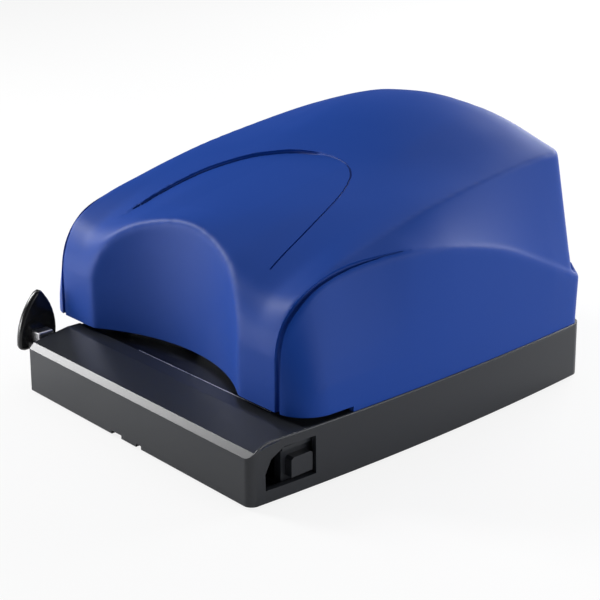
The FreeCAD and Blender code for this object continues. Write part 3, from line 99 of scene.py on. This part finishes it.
paint_links.new(desk_share.outputs["Value"], desk_mix.inputs["Fac"])
paint_links.new(paint_nodes["Principled BSDF"].outputs["BSDF"], desk_mix.inputs[1])
paint_links.new(desk_seen.outputs["Emission"], desk_mix.inputs[2])
paint_links.new(desk_mix.outputs["Shader"], paint_nodes["Material Output"].inputs["Surface"])
desk.data.materials.append(desk_paint)

world = bpy.data.worlds.new("studio")
bpy.context.scene.world = world
world.use_nodes = True
world_nodes, world_links = world.node_tree.nodes, world.node_tree.links
world_nodes["Background"].inputs["Color"].default_value = (0.9, 0.94, 1.0, 1)
world_nodes["Background"].inputs["Strength"].default_value = room_glow
wall_seen = world_nodes.new("ShaderNodeBackground")
wall_seen.inputs["Color"].default_value = (1, 1, 1, 1)
wall_rays = world_nodes.new("ShaderNodeLightPath")
wall_mix = world_nodes.new("ShaderNodeMixShader")
world_links.new(wall_rays.outputs["Is Camera Ray"], wall_mix.inputs["Fac"])
world_links.new(world_nodes["Background"].outputs["Background"], wall_mix.inputs[1])
world_links.new(wall_seen.outputs["Background"], wall_mix.inputs[2])
world_links.new(wall_mix.outputs["Shader"], world_nodes["World Output"].inputs["Surface"])

# an upright softbox near the left front, a low panel behind, a low panel on the right, a faint ceiling
for lamp_name, place, width, height, power in (("softbox_left", (-0.66, -0.32, 0.46), 0.2, 0.42, 6.5),
                                               ("card_front_left", (-0.24, -0.31, 0.045), 0.14, 0.07, 0.42),
                                               ("panel_behind", (0.0, 1.1, 0.48), 1.2, 0.4, 16),
                                               ("panel_right", (1.0, 0.3, 0.30), 0.9, 0.4, 4.8),
                                               ("ceiling_panel", (-0.2, 0.4, 1.25), 0.8, 0.8, 3.0)):
    bpy.ops.object.light_add(type="AREA", location=place)
    lamp = bpy.context.object
    lamp.name = lamp_name
    lamp.data.shape = "RECTANGLE"
    lamp.data.size, lamp.data.size_y = width, height
    lamp.data.energy = power
    lamp.visible_camera = False
    lamp.rotation_euler = (machine_middle - Vector(place)).to_track_quat("-Z", "Y").to_euler()


# ================================================================ blue hood
# The cover, moulded of blue plastic with a 2.2 mm wall: a bonnet with a scooped front, a
# tongue-shaped top panel, hollow slopes, proud cheeks and a stepped rear.  Four screws from below
# hold it to the base.
hood_front, hood_rear, hood_low, hood_wall = 21.5, 173.5, 23.2, 2.2
hood_lip, throat_end = 25.3, 45.0
base_width, side_bulge, depth = 151.0, 3.3, 175.0
crease_half, corner_front, corner_rear = 64.5, 13.0, 6.0
alcove_half, alcove_depth = 44.0, 13.6
foot_setback = 0.45
shell_step, inside_step = 2.5, 8
scoop_radius = (alcove_half ** 2 + alcove_depth ** 2) / (2 * alcove_depth)
scoop_middle = hood_front + alcove_depth - scoop_radius


def smooth_line(points, place):
    """The height at one place of a smooth line through (place, height) points."""
    last = len(points) - 1
    i = 0
    while i < last - 1 and place > points[i + 1][0]:
        i += 1
    (x0, y0), (x1, y1) = points[i], points[i + 1]

    def slope(j):
        low, high = points[max(j - 1, 0)], points[min(j + 1, last)]
        return (high[1] - low[1]) / (high[0] - low[0])

    span = x1 - x0
    part = min(max((place - x0) / span, 0.0), 1.0)
    keep, gain = 2 * part ** 3 - 3 * part ** 2 + 1, 3 * part ** 2 - 2 * part ** 3
    return (keep * y0 + gain * y1 + (part ** 3 - 2 * part ** 2 + part) * span * slope(i)
            + (part ** 3 - part ** 2) * span * slope(i + 1))


# heights along lanes from the middle line (0) out to the crease (1)
crown_lanes = [
    (0.0, [(21, 71), (34, 75), (60, 80.6), (84, 85.2), (100, 88.0), (108, 90.6), (120, 95.6), (132, 100.0),
           (145, 103.2), (158, 104.9), (165, 104.5), (173, 102.8)]),
    (0.40, [(21, 62), (26, 66.5), (31, 69.8), (40, 73.2), (60, 79.4), (84, 84.6), (97, 87.2), (108, 90.2),
            (120, 94.6), (132, 98.4), (145, 101.4), (158, 102.7), (165, 102.4), (173, 100.9)]),
    (0.62, [(21, 47), (23, 55), (26, 61.5), (32, 66.4), (48, 73.2), (71, 80.6), (90, 84.8), (106, 88.4),
            (120, 92.0), (132, 95.4), (145, 98.2), (158, 99.4), (165, 99.3), (173, 98.2)]),
    (0.80, [(21, 42), (22.2, 49.5), (24, 55.0), (28, 60.8), (34, 64.8), (48, 71.6), (60, 76.2), (76, 80.8),
            (92, 84.6), (106, 87.2), (120, 89.8), (132, 92.3), (145, 94.6), (158, 95.8), (173, 95.2)]),
    (0.92, [(21, 42), (22.2, 49.5), (24, 55.0), (28, 61.2), (34, 65.3), (48, 71.8), (60, 75.8), (76, 80.2),
            (92, 83.9), (106, 86.3), (120, 88.4), (132, 90.4), (145, 92.2), (158, 93.1), (173, 92.9)]),
    (1.0, [(21, 42), (22.2, 49.5), (24, 55.0), (28, 61.8), (34, 66.0), (48, 71.9), (60, 75.2), (76, 79.4),
           (92, 83.0), (106, 85.4), (120, 87.4), (132, 88.9), (145, 90.3), (158, 91.4), (173, 91.8)])]
cheek_top = [(21, 43), (24, 54), (31, 63.0), (38, 67.4), (49, 70.6), (62, 72.6), (76, 73.4), (98, 70.6),
             (124, 63.7), (150, 52), (163, 46), (169, 43.8), (180, 40)]
cheek_out = [(21, 64.6), (31, 66.5), (49, 67.8), (62, 70.5), (76, 74.2), (98, 76.3), (180, 76.8)]
# the upper body ends in an upright face with rounded corners; the cheeks' step runs round below it
upper_rear, upper_corner = 169.6, 6.0
rear_slope = [(150, 112), (165, 108), (167, 105), (168.4, 101), (169.2, 95), (169.7, 85), (170.2, 50),
              (170.6, 47.4), (172, 45.8), (173, 43.6), (173.6, 41)]
corner_overrun, rear_face_from, no_roof = 0.65, 140, 200
# one cross-section's points: along the crown, down the hollow slope, over the cheek and down its face
crown_points = 36
slope_shares = (0.25, 0.5, 0.75)
face_shares = ((0.2, 0.3), (0.4, 0.52), (0.6, 0.74), (0.8, 0.92), (1.0, 1.0))
cheek_flat, edge_drop, knee_rise, skirt_below = 1.0, 1.4, 4, 9


def rim_half(y):
    """Half the width of the base, whose sides bow out, at a distance from its front face."""
    radius = (depth ** 2 / 4 + side_bulge ** 2) / (2 * side_bulge)
    return base_width / 2 + side_bulge - radius + math.sqrt(radius ** 2 - (y - depth / 2) ** 2)


def plan_half(y):
    """Half the width of the hood's foot at a distance from the front face."""
    half = rim_half(y)
    for corner, into in ((corner_front, y - hood_front), (corner_rear, hood_rear - y)):
        if into < corner:
            half -= corner - math.sqrt(max(corner ** 2 - (corner - into) ** 2, 0))
    return half


def crown_height(x, y):
    """How high the crown stands at a place on the hood, mirrored about the middle line."""
    lanes = [(lane, smooth_line(line, y)) for lane, line in crown_lanes]
    mirrored = [(-lane, height) for lane, height in reversed(lanes[1:])]
    return smooth_line(mirrored + lanes, min(abs(x) / crease_half, 1.0))


def cheek_edge(y):
    """Where the top edge of the cheek runs: how far out, and how high."""
    return min(smooth_line(cheek_out, y), plan_half(y) - 0.2), smooth_line(cheek_top, y)


def corner_cut(y):
    """How far the upper body's rounded rear corner takes its side in."""
    into = upper_rear - y
    if into >= upper_corner or into < -corner_overrun:
        return 0.0
    into = max(into, 0.0)
    return upper_corner - math.sqrt(upper_corner ** 2 - (upper_corner - into) ** 2)


def hood_outline(y, inset):
    """The right half of one cross-section, from the middle of the crown down to the foot."""
    foot = plan_half(y) - inset - foot_setback
    out, top = cheek_edge(y)
    edge = out - inset
    cut = corner_cut(y + inset)
    crease = min(crease_half, plan_half(y) - 0.5) - inset - cut
    roof = smooth_line(rear_slope, y + inset) - inset if y > rear_face_from else no_roof
    points = [(crease * i / crown_points, crown_height(crease_half * i / crown_points, y) - inset)
              for i in range(crown_points + 1)]
    top = min(top - inset, points[-1][1] - 0.4)
    ledge = (max(edge - cheek_flat - cut, crease + 0.05), top + 0.5)
    brow = points[crown_points][1]
    for part in slope_shares:
        points.append((crease + (ledge[0] - crease) * part, brow + (ledge[1] - brow) * part))
    points += [ledge, (edge - 0.15, top + 0.1), (edge + (foot - edge) * 0.1, top - edge_drop)]
    knee = hood_low + knee_rise
    for part, reach in face_shares:
        points.append((edge + (foot - edge) * reach, top - edge_drop + (knee - top + edge_drop) * part))
    points.append((foot, hood_low - skirt_below))
    return [(x, min(z, roof)) for x, z in points]


# cross-sections stand close together where the front edge rounds and where the rear face turns down
front_rounding = (0, 0.25, 0.6, 1.2, 2, 3, 4.2, 5.7, 7.5, 9.5)
rear_close_from, rear_step = 160, 0.4


def hood_body(name, inset, step):
    """A closed body of the hood's form, pulled in all over by one distance."""
    stations = [hood_front + inset + extra for extra in front_rounding]
    while stations[-1] < rear_close_from:
        stations.append(stations[-1] + step)
    while stations[-1] < hood_rear - inset - 0.6:
        stations.append(stations[-1] + rear_step)
    stations.append(hood_rear - inset)
    halves = [hood_outline(y, inset) for y in stations]
    rings = [[(-x, z) for x, z in reversed(half[1:])] + half for half in halves]
    across = len(rings[0])
    bpy.ops.object.select_all(action="DESELECT")
    bpy.ops.mesh.primitive_grid_add(x_subdivisions=across, y_subdivisions=len(stations) - 1, size=1)
    body = bpy.context.object
    body.name = name
    # the grid has one more row and column of points than cells; its last column closes the ring
    for index, vertex in enumerate(body.data.vertices):
        column, row = index % (across + 1), index // (across + 1)
        x, z = rings[row][column % across]
        vertex.co = (x * mm, (stations[row] - depth / 2) * mm, z * mm)
    bpy.ops.object.mode_set(mode="EDIT")
    bpy.ops.mesh.select_all(action="SELECT")
    bpy.ops.mesh.remove_doubles(threshold=1e-7)
    bpy.ops.mesh.fill_holes(sides=0)
    bpy.ops.mesh.select_all(action="SELECT")
    bpy.ops.mesh.quads_convert_to_tris()
    bpy.ops.mesh.normals_make_consistent(inside=False)
    bpy.ops.object.mode_set(mode="OBJECT")
    return body


def scoop(inset):
    """The upright cylinder that hollows the hood's front."""
    bpy.ops.object.select_all(action="DESELECT")
    bpy.ops.mesh.primitive_cylinder_add(vertices=256, radius=(scoop_radius + inset) * mm, depth=0.2,
                                        location=(0, (scoop_middle - depth / 2) * mm, 0.08))
    return bpy.context.object


def slab(y_low, y_high, z_low, z_high):
    """A wide block that trims the hood between two places and two heights."""
    bpy.ops.object.select_all(action="DESELECT")
    bpy.ops.mesh.primitive_cube_add(size=1, location=(0, ((y_low + y_high) / 2 - depth / 2) * mm,
                                                      (z_low + z_high) / 2 * mm))
    block = bpy.context.object
    block.dimensions = (0.3, (y_high - y_low) * mm, (z_high - z_low) * mm)
    bpy.ops.object.transform_apply(location=True, rotation=True, scale=True)
    return block


def groove_tube(points, radii):
    """A tube along points on the surface; cut out, it leaves a round-bottomed groove."""
    bpy.ops.object.select_all(action="DESELECT")
    bpy.ops.curve.primitive_nurbs_path_add()
    path = bpy.context.object
    path.data.splines.clear()
    spline = path.data.splines.new("POLY")
    spline.points.add(len(points) - 1)
    for point, (x, y, z), radius in zip(spline.points, points, radii):
        point.co = (x * mm, (y - depth / 2) * mm, z * mm, 1)
        point.radius = radius
    path.data.bevel_depth = mm
    path.data.bevel_resolution = 3
    path.data.use_fill_caps = True
    only(path)
    bpy.ops.object.convert(target="MESH")
    return bpy.context.object


def only(piece):
    """Make one object the only selected and the active one."""
    bpy.ops.object.select_all(action="DESELECT")
    piece.select_set(True)
    bpy.context.view_layer.objects.active = piece


def apply_all(piece):
    only(piece)
    for modifier in list(piece.modifiers):
        bpy.ops.object.modifier_apply(modifier=modifier.name)


def cut_away(piece, tool):
    """Take one body out of another and throw the tool away."""
    trim = piece.modifiers.new("trim", "BOOLEAN")
    trim.operation, trim.object, trim.solver = "DIFFERENCE", tool, "EXACT"
    apply_all(piece)
    bpy.data.objects.remove(tool)


hood = hood_body("hood", 0.0, shell_step)
cut_away(hood, scoop(0.0))
even = hood.modifiers.new("even", "REMESH")
even.mode, even.voxel_size, even.adaptivity = "VOXEL", 1.0 * mm, 0.0
apply_all(hood)
# the mould's edges: broad and soft round the arch and the pillars, tighter elsewhere
rear_soft_from, rear_soft_above, rear_softness = 160, 52, 0.6
arch_reach, arch_spread, foot_reach = 14, 14, 5
pillar_spread_right, pillar_spread_left = 30, 3
soft_edges = hood.vertex_groups.new(name="soft_edges")
for vertex in hood.data.vertices:
    x, y, z = vertex.co.x / mm, vertex.co.y / mm + depth / 2, vertex.co.z / mm
    beyond = math.hypot(x, y - scoop_middle) - scoop_radius
    if y > rear_soft_from and z > rear_soft_above:
        soft_edges.add([vertex.index], rear_softness, "REPLACE")
    if beyond > arch_reach or z < hood_low - foot_reach:
        continue
    under = crown_height(x, y) - z
    pillar = (beyond ** 2 + (y - hood_front) ** 2) / (pillar_spread_right if x > 0 else pillar_spread_left)
    near = max(math.exp(-(beyond ** 2 + under ** 2) / arch_spread), math.exp(-pillar))
    if near > 0.05:
        soft_edges.add([vertex.index], near, "REPLACE")
for group, factor, passes in (("soft_edges", 0.5, 24), ("", 0.5, 5)):
    soften = hood.modifiers.new("soften", "SMOOTH")
    soften.factor, soften.iterations, soften.vertex_group = factor, passes, group
apply_all(hood)
# the tongue-shaped panel lies a little lower than what is round it, on its left and rear edges
tongue_front, tongue_bend, tongue_rear = 35, 92, 103.8
tongue_end_left, tongue_end_right = -28.8, 25.8
crown_low = 60
tongue_sunk, tongue_fade_from, tongue_fade_over, tongue_ramp = 1.1, 14, 30, 12
tongue_left = [(35, 44), (44, 42.6), (56, 41), (66, 39), (76, 36.5), (86, 32.5), (92, 28.8)]
tongue_right = [(35, 44), (44, 42.4), (56, 40), (66, 37.4), (76, 34.2), (86, 29.6), (92, 25.8)]
tongue_end = [(-28.8, 92), (-26, 94.5), (-18, 100.2), (-9, 103), (0, 103.8), (8.5, 103), (17, 100),
              (23.5, 94.8), (25.8, 92)]


def tongue_width(x, y):
    """How far the panel reaches to one side at a place behind the front face."""
    if y < tongue_bend:
        return smooth_line(tongue_left if x < 0 else tongue_right, y)
    end = smooth_line(tongue_end, min(max(x, tongue_end_left), tongue_end_right))
    return abs(x) if y < end and tongue_end_left < x < tongue_end_right else -1


for vertex in hood.data.vertices:
    x, y, z = vertex.co.x / mm, vertex.co.y / mm + depth / 2, vertex.co.z / mm
    if tongue_front < y < tongue_rear and z > crown_low and abs(x) <= tongue_width(x, y):
        vertex.co.z -= (tongue_sunk * mm * min(max((tongue_fade_from - x) / tongue_fade_over, 0), 1)
                        * min((y - tongue_front) / tongue_ramp, 1))
inner = hood_body("hood_inside", hood_wall, inside_step)
cut_away(inner, scoop(hood_wall))
cut_away(hood, inner)
well_before, well_behind = -20, 200
cut_away(hood, slab(well_before, well_behind, -10, hood_low))
cut_away(hood, slab(well_before, throat_end, 0, hood_lip))

# grooves: up each pillar and along the cheek's top edge, and round the tongue-shaped panel
# (the second run lies deeper; both fade out along the cheek)
groove_runs = ((0.0, 1.2), (0.85, 1.0))
pillar_low, pillar_heights = 3, (35, 43.5)
cheek_places = (22.3, 23.6, 25.5, 28, 31, 35, 40, 46, 52, 58, 64, 70, 76)
groove_in, groove_up, crease_gap = 0.9, 0.2, 0.1
cheek_fade = (1, 0.95, 0.85, 0.7, 0.5, 0.3, 0.15)
for side in (-1, 1):
    for sunk, width in groove_runs:
        run = [(side * crease_half, hood_front + sunk, z)
               for z in (hood_low - pillar_low, *pillar_heights)]
        for y in cheek_places:
            out, top = cheek_edge(y)
            across = max(out - groove_in, crease_half - crease_gap)
            run.append((side * across, y, top + groove_up - sunk))
        full = [width] * (len(run) - len(cheek_fade))
        cut_away(hood, groove_tube(run, full + [width * share for share in cheek_fade]))
edge = [(-tongue_width(-1, y), y) for y in range(tongue_front, tongue_bend, 4)]
edge += [(x, smooth_line(tongue_end, x)) for x in range(-27, 26, 3)]
edge += [(tongue_width(1, y), y) for y in range(tongue_bend - 3, tongue_front - 1, -4)]
# the groove is deep and broad on the left, where the panel is sunk, and a fine line on the right
deep_until, deep_sunk, fine_sunk = -4, 0.9, 0.2
deep_start, deep_growth, deep_over, fine_width = 0.45, 0.65, 40, 0.42
run, widths = [], []
for x, y in edge:
    deep = x < deep_until
    run.append((x, y, crown_height(x, y) - (deep_sunk if deep else fine_sunk)))
    deep_width = deep_start + deep_growth * min((y - tongue_front) / deep_over, 1)
    widths.append(deep_width if deep else fine_width)
cut_away(hood, groove_tube(run, widths))


def plastic(name, colour, roughness, grain):
    """Moulded plastic with a fine spark-eroded grain."""
    material = bpy.data.materials.new(name)
    material.use_nodes = True
    parts, links = material.node_tree.nodes, material.node_tree.links
    shader = parts["Principled BSDF"]
    shader.inputs["Base Color"].default_value = (*colour, 1)
    shader.inputs["Roughness"].default_value = roughness
    shader.inputs["IOR"].default_value = 1.46
    place = parts.new("ShaderNodeTexCoord")
    spots = parts.new("ShaderNodeTexNoise")
    spots.inputs["Scale"].default_value = 1400
    spots.inputs["Detail"].default_value = 2
    bump = parts.new("ShaderNodeBump")
    bump.inputs["Strength"].default_value = grain
    bump.inputs["Distance"].default_value = 0.0001
    links.new(place.outputs["Object"], spots.inputs["Vector"])
    links.new(spots.outputs["Fac"], bump.inputs["Height"])
    links.new(bump.outputs["Normal"], shader.inputs["Normal"])
    return material


def dress(piece, material):
    piece.data.materials.clear()
    piece.data.materials.append(material)


only(hood)
bpy.ops.object.shade_smooth_by_angle(angle=math.radians(50))
blue = plastic("blue_plastic", (0.004, 0.048, 0.30), 0.5, 0.05)
blue.node_tree.nodes["Principled BSDF"].inputs["Specular IOR Level"].default_value = 0.22
dress(hood, blue)
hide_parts("top_cover")
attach(hood, "machine")


# ================================================================ black base
# The tray that everything stands on, moulded of black plastic in one piece with a sloping front
# ledge, a bay on the left for the paper stop and a thumb recess on the right.
nodes = frame["nodes"]
band_place_y, band_place_z, band_turn = 1.35, 19.35, math.radians(45)
wedge_long, wedge_thick = 8, 4
ledge_cuts = (3.4, 17.0)


def softened_copy(name, round_off, shape=None, sharp=35):
    """A copy of a CAD piece with its flat faces joined and its edges rounded a little."""
    only(nodes[name])
    bpy.ops.object.duplicate()
    piece = bpy.context.object
    piece.name = name + "_look"
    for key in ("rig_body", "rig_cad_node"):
        if key in piece:
            del piece[key]
    piece.parent = None
    bpy.ops.object.mode_set(mode="EDIT")
    bpy.ops.mesh.select_all(action="SELECT")
    bpy.ops.mesh.remove_doubles(threshold=2e-6)
    bpy.ops.mesh.dissolve_limited(angle_limit=math.radians(0.6))
    bpy.ops.object.mode_set(mode="OBJECT")
    if shape:
        shape(piece)
    edge = piece.modifiers.new("edge", "BEVEL")
    edge.width, edge.segments, edge.limit_method = round_off * mm, 2, "ANGLE"
    edge.angle_limit = math.radians(sharp)
    apply_all(piece)
    only(piece)
    bpy.ops.object.shade_smooth_by_angle(angle=math.radians(32))
    even_light = piece.modifiers.new("even_light", "WEIGHTED_NORMAL")
    even_light.keep_sharp = True
    apply_all(piece)
    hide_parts(name)
    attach(piece, nodes[name]["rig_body"])
    return piece


def shape_ledge(piece):
    """Cut the front edge to a broad 45 degree band, and part the ledge's long faces near their ends."""
    bpy.ops.object.select_all(action="DESELECT")
    bpy.ops.mesh.primitive_cube_add(size=1)
    wedge = bpy.context.object
    wedge.dimensions = (0.2, wedge_long * mm, wedge_thick * mm)
    wedge.rotation_euler = (band_turn, 0, 0)
    wedge.location = (0, (band_place_y - depth / 2) * mm - wedge_thick / 2 * mm * math.sin(band_turn),
                      band_place_z * mm + wedge_thick / 2 * mm * math.cos(band_turn))
    bpy.ops.object.transform_apply(location=True, rotation=True, scale=True)
    cut_away(piece, wedge)
    only(piece)
    bpy.ops.object.mode_set(mode="EDIT")
    for y in ledge_cuts:
        bpy.ops.mesh.select_all(action="SELECT")
        bpy.ops.mesh.bisect(plane_co=(0, (y - depth / 2) * mm, 0), plane_no=(0, 1, 0))
    bpy.ops.object.mode_set(mode="OBJECT")


base = softened_copy("base_housing", 0.3, shape_ledge)
black = plastic("black_plastic", (0.019, 0.021, 0.026), 0.32, 0.10)
dress(base, black)

# ================================================================ rim bead
# The base's rim stands a hair proud of the hood: a rounded edge moulded with the base.  Its black is
# paler and glossier than the base's black: a painted highlight for the light line along the rim.
# On the right it dips to the front over a rounded ear beside the thumb recess.
rim_top_z, bead_round, bead_inset = 22.9, 0.42, 0.3
bead_front, bead_left_front, bead_rear, bead_step = 14, 48, 170, 11
ear = [(75.2, 2.6, 20.1), (75.4, 3.6, 21.0), (75.5, 5, 21.9), (75.6, 7, 22.6), (75.8, 9.5, rim_top_z)]
right_run = ear + [(rim_half(y) - bead_inset, y, rim_top_z)
                   for y in range(bead_front, bead_rear, bead_step)]
left_run = [(-rim_half(y) + bead_inset, y, rim_top_z)
            for y in range(bead_left_front, bead_rear, bead_step)]
beads = [groove_tube(run, [bead_round] * len(run)) for run in (right_run, left_run)]
only(beads[0])
beads[1].select_set(True)
bpy.ops.object.join()
rim_bead = bpy.context.object
rim_bead.name = "rim_bead"
only(rim_bead)
bpy.ops.object.shade_smooth_by_angle(angle=math.radians(60))
# a paler black than the base's plastic: painted highlight along the rim
dress(rim_bead, plastic("rim_black_painted_highlight", (0.05, 0.053, 0.06), 0.25, 0.03))
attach(rim_bead, "machine")

# ================================================================ die edge
# The ground front edge of the hardened steel die plate, which lies in the base: only a thin bright
# line of it shows behind the sloping ledge, under the hood.
die_middle_x, die_middle_y, die_middle_z = 20, 24.25, 22.75
die_long, die_square, die_rounding = 76, 0.5, 0.18


def metal(name, colour, roughness, along):
    """Metal with fine drawing lines; the three factors in `along` stretch them."""
    material = bpy.data.materials.new(name)
    material.use_nodes = True
    parts, links = material.node_tree.nodes, material.node_tree.links
    shader = parts["Principled BSDF"]
    shader.inputs["Base Color"].default_value = (*colour, 1)
    shader.inputs["Metallic"].default_value = 1.0
    place = parts.new("ShaderNodeTexCoord")
    stretch = parts.new("ShaderNodeMapping")
    stretch.inputs["Scale"].default_value = along
    lines = parts.new("ShaderNodeTexNoise")
    lines.inputs["Scale"].default_value = 400
    lines.inputs["Detail"].default_value = 3
    spread = parts.new("ShaderNodeMapRange")
    spread.inputs["To Min"].default_value = roughness * 0.8
    spread.inputs["To Max"].default_value = roughness * 1.25
    links.new(place.outputs["Object"], stretch.inputs["Vector"])
    links.new(stretch.outputs["Vector"], lines.inputs["Vector"])
    links.new(lines.outputs["Fac"], spread.inputs["Value"])
    links.new(spread.outputs["Result"], shader.inputs["Roughness"])
    return material


bpy.ops.object.select_all(action="DESELECT")
bpy.ops.mesh.primitive_cube_add(size=1, location=(
    die_middle_x * mm, (die_middle_y - depth / 2) * mm, die_middle_z * mm))
die_edge = bpy.context.object
die_edge.name = "die_edge"
die_edge.dimensions = (die_long * mm, die_square * mm, die_square * mm)
bpy.ops.object.transform_apply(location=True, rotation=True, scale=True)
turned = die_edge.modifiers.new("turned", "BEVEL")
turned.width, turned.segments = die_rounding * mm, 2
apply_all(die_edge)
dress(die_edge, metal("ground_steel", (0.72, 0.72, 0.74), 0.3, (1, 6, 6)))
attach(die_edge, "machine")

# ================================================================ paper stop
# A black leaf-shaped fin of moulded plastic, 3.2 mm thick with a glossy rounded rim.  A small bright
# steel block clamps it on the end of the steel rail, which slides out to the left.
fin_x, fin_half, fin_thick, fin_rounding = -68.0, 2.3, 3.2, 1.2
clamp_y, clamp_z, clamp_size, clamp_rounding = 11, 17.2, (5.4, 7.0, 8.4), 0.6
clamp_beyond = 3.6
foot_z, front_end_z, back_end_z = 14.2, 34.6, 34.8
fin_tip = [(10.9, 36.0), (12.6, 36.7), (13.9, 36.1)]
fin_foot = [(17.6, 13.4), (4.4, 13.2), (2.6, 13.8)]


def leaf_side(middle_y, middle_z, radius, first, turn, count):
    """Points along one of the fin's two long arcs, seen from the left of the machine."""
    turns = [math.radians(first + i * turn) for i in range(count)]
    return [(middle_y + radius * math.cos(a), middle_z + radius * math.sin(a)) for a in turns]


front_side = [point for point in leaf_side(30.7, 15.3, 28.6, 184, -4.2, 13)
              if foot_z < point[1] < front_end_z]
back_side = [point for point in reversed(leaf_side(-5.4, 20.5, 24.8, -14, 6.2, 9))
             if point[1] < back_end_z]
leaf = front_side + fin_tip + back_side + fin_foot
bpy.ops.object.select_all(action="DESELECT")
bpy.ops.mesh.primitive_circle_add(vertices=len(leaf), fill_type="NGON", radius=1)
stop = bpy.context.object
stop.name = "paper_stop"
for vertex, (y, z) in zip(stop.data.vertices, leaf):
    vertex.co = ((fin_x - fin_half) * mm, (y - depth / 2) * mm, z * mm)
bpy.ops.object.mode_set(mode="EDIT")
bpy.ops.mesh.select_all(action="SELECT")
bpy.ops.mesh.extrude_region_move(TRANSFORM_OT_translate={"value": (fin_thick * mm, 0, 0)})
bpy.ops.mesh.select_all(action="SELECT")
bpy.ops.mesh.normals_make_consistent(inside=False)
bpy.ops.object.mode_set(mode="OBJECT")
rim = stop.modifiers.new("rim", "BEVEL")
rim.width, rim.segments = fin_rounding * mm, 3
rim.limit_method, rim.angle_limit = "ANGLE", math.radians(50)
apply_all(stop)
bpy.ops.object.select_all(action="DESELECT")
bpy.ops.mesh.primitive_cube_add(size=1, location=(
    (fin_x + clamp_beyond) * mm, (clamp_y - depth / 2) * mm, clamp_z * mm))
clamp = bpy.context.object
clamp.name = "stop_clamp"
clamp.dimensions = [side * mm for side in clamp_size]
bpy.ops.object.transform_apply(location=True, rotation=True, scale=True)
corner = clamp.modifiers.new("corner", "BEVEL")
corner.width, corner.segments = clamp_rounding * mm, 2
apply_all(clamp)
dress(clamp, metal("clamp_steel", (0.6, 0.6, 0.62), 0.35, (1, 1, 6)))
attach(clamp, "paper_guide")
only(stop)
bpy.ops.object.shade_smooth_by_angle(angle=math.radians(40))
dress(stop, plastic("gloss_black_plastic", (0.012, 0.012, 0.013), 0.2, 0.03))
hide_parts("guide_stop")
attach(stop, "paper_guide")

# ================================================================ rail, pins and screws of steel
# Bright turned and drawn steel: the paper guide's rail, the punches and what moves them, the shafts
# and axles, the contacts of the battery bay, and every screw.
bright_steel = metal("bright_steel", (0.62, 0.62, 0.63), 0.28, (1, 1, 8))
for node_name in ("guide_rail", "punch_pin_left", "punch_pin_right", "punch_yoke", "punch_caps",
                  "guide_posts", "press_cams", "cam_shaft", "motor_shaft", "gear_axles",
                  "plate_spacers", "sensor_pin", "battery_contacts", "plate_screws", "motor_screws",
                  "board_screws", "cover_screws", "frame_screws", "base_screws"):
    dress(nodes[node_name], bright_steel)

# ================================================================ springs
# Two coil springs lift the punch yoke and a small one pushes the flap's button out; each is wound of
# steel wire and stands on the frame.  Each coil here is a copy of its CAD piece, fixed to the machine.
spring_wire = metal("spring_wire", (0.6, 0.6, 0.62), 0.25, (4, 4, 4))
return_foot_z, button_foot_x = 29.4, 64.2
for spring_name, joint, along, fixed_end, keep in (
        ("return_spring_left", "punch_stroke", (0, 0, 1), (0, 0, return_foot_z * mm), 0.5),
        ("return_spring_right", "punch_stroke", (0, 0, 1), (0, 0, return_foot_z * mm), 0.5),
        ("button_spring", "button_press", (1, 0, 0), (button_foot_x * mm, 0, 0), 0.6)):
    coil = nodes[spring_name].copy()
    coil.data = nodes[spring_name].data.copy()
    bpy.context.scene.collection.objects.link(coil)
    coil.name = spring_name + "_coil"
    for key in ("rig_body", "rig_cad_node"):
        if key in coil:
            del coil[key]
    coil.parent = None
    dress(coil, spring_wire)
    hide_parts(spring_name)
    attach(coil, "machine")
    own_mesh(coil)

# ================================================================ frame, die and motor case
# The die plate is blackened tool steel.  The punch frame and the two gear plates are folded from
# zinc-plated sheet, and the motor's can is drawn from it.  Screws hold them to the base.
dress(nodes["die_plate"], metal("black_oxide_steel", (0.03, 0.03, 0.032), 0.35, (1, 12, 1)))
zinc_sheet = metal("zinc_sheet_steel", (0.55, 0.56, 0.58), 0.32, (8, 1, 1))
for node_name in ("punch_frame", "gear_plate_left", "gear_plate_right", "motor"):
    dress(nodes[node_name], zinc_sheet)

# ================================================================ gears and bushes
# The gears are moulded of white nylon.  The motor's pinion and the two bushes that carry the cam
# shaft are turned from brass and pressed in place.
white_nylon = plastic("white_nylon", (0.72, 0.70, 0.64), 0.45, 0.05)
for node_name in ("cam_wheel", "second_gear", "first_gear"):
    dress(nodes[node_name], white_nylon)
brass = metal("brass", (0.72, 0.5, 0.2), 0.3, (8, 1, 1))
for node_name in ("shaft_bushes", "motor_pinion"):
    dress(nodes[node_name], brass)

# ================================================================ cells and circuit board
# The six cells in their dark sleeves lie side by side in the base.  The circuit board is a green
# laminate held by four screws.
dress(nodes["circuit_board"], plastic("green_laminate", (0.02, 0.16, 0.06), 0.35, 0.02))
dress(nodes["battery_cells"], plastic("cell_sleeve", (0.06, 0.06, 0.065), 0.35, 0.02))

# ================================================================ small black mouldings and feet
# The same black plastic as the base: the flaps and plates under it, the release button, the socket,
# the paper sensor and the parts on the board.  The four feet are discs of soft grey rubber.
for node_name in ("chip_flap", "bottom_plate", "battery_door", "release_button", "power_inlet",
                  "board_parts", "sensor_lever", "sensor_switch"):
    dress(nodes[node_name], black)
dress(nodes["rubber_feet"], plastic("grey_rubber", (0.035, 0.035, 0.035), 0.8, 0.2))

bpy.context.scene.view_settings.view_transform = "Standard"
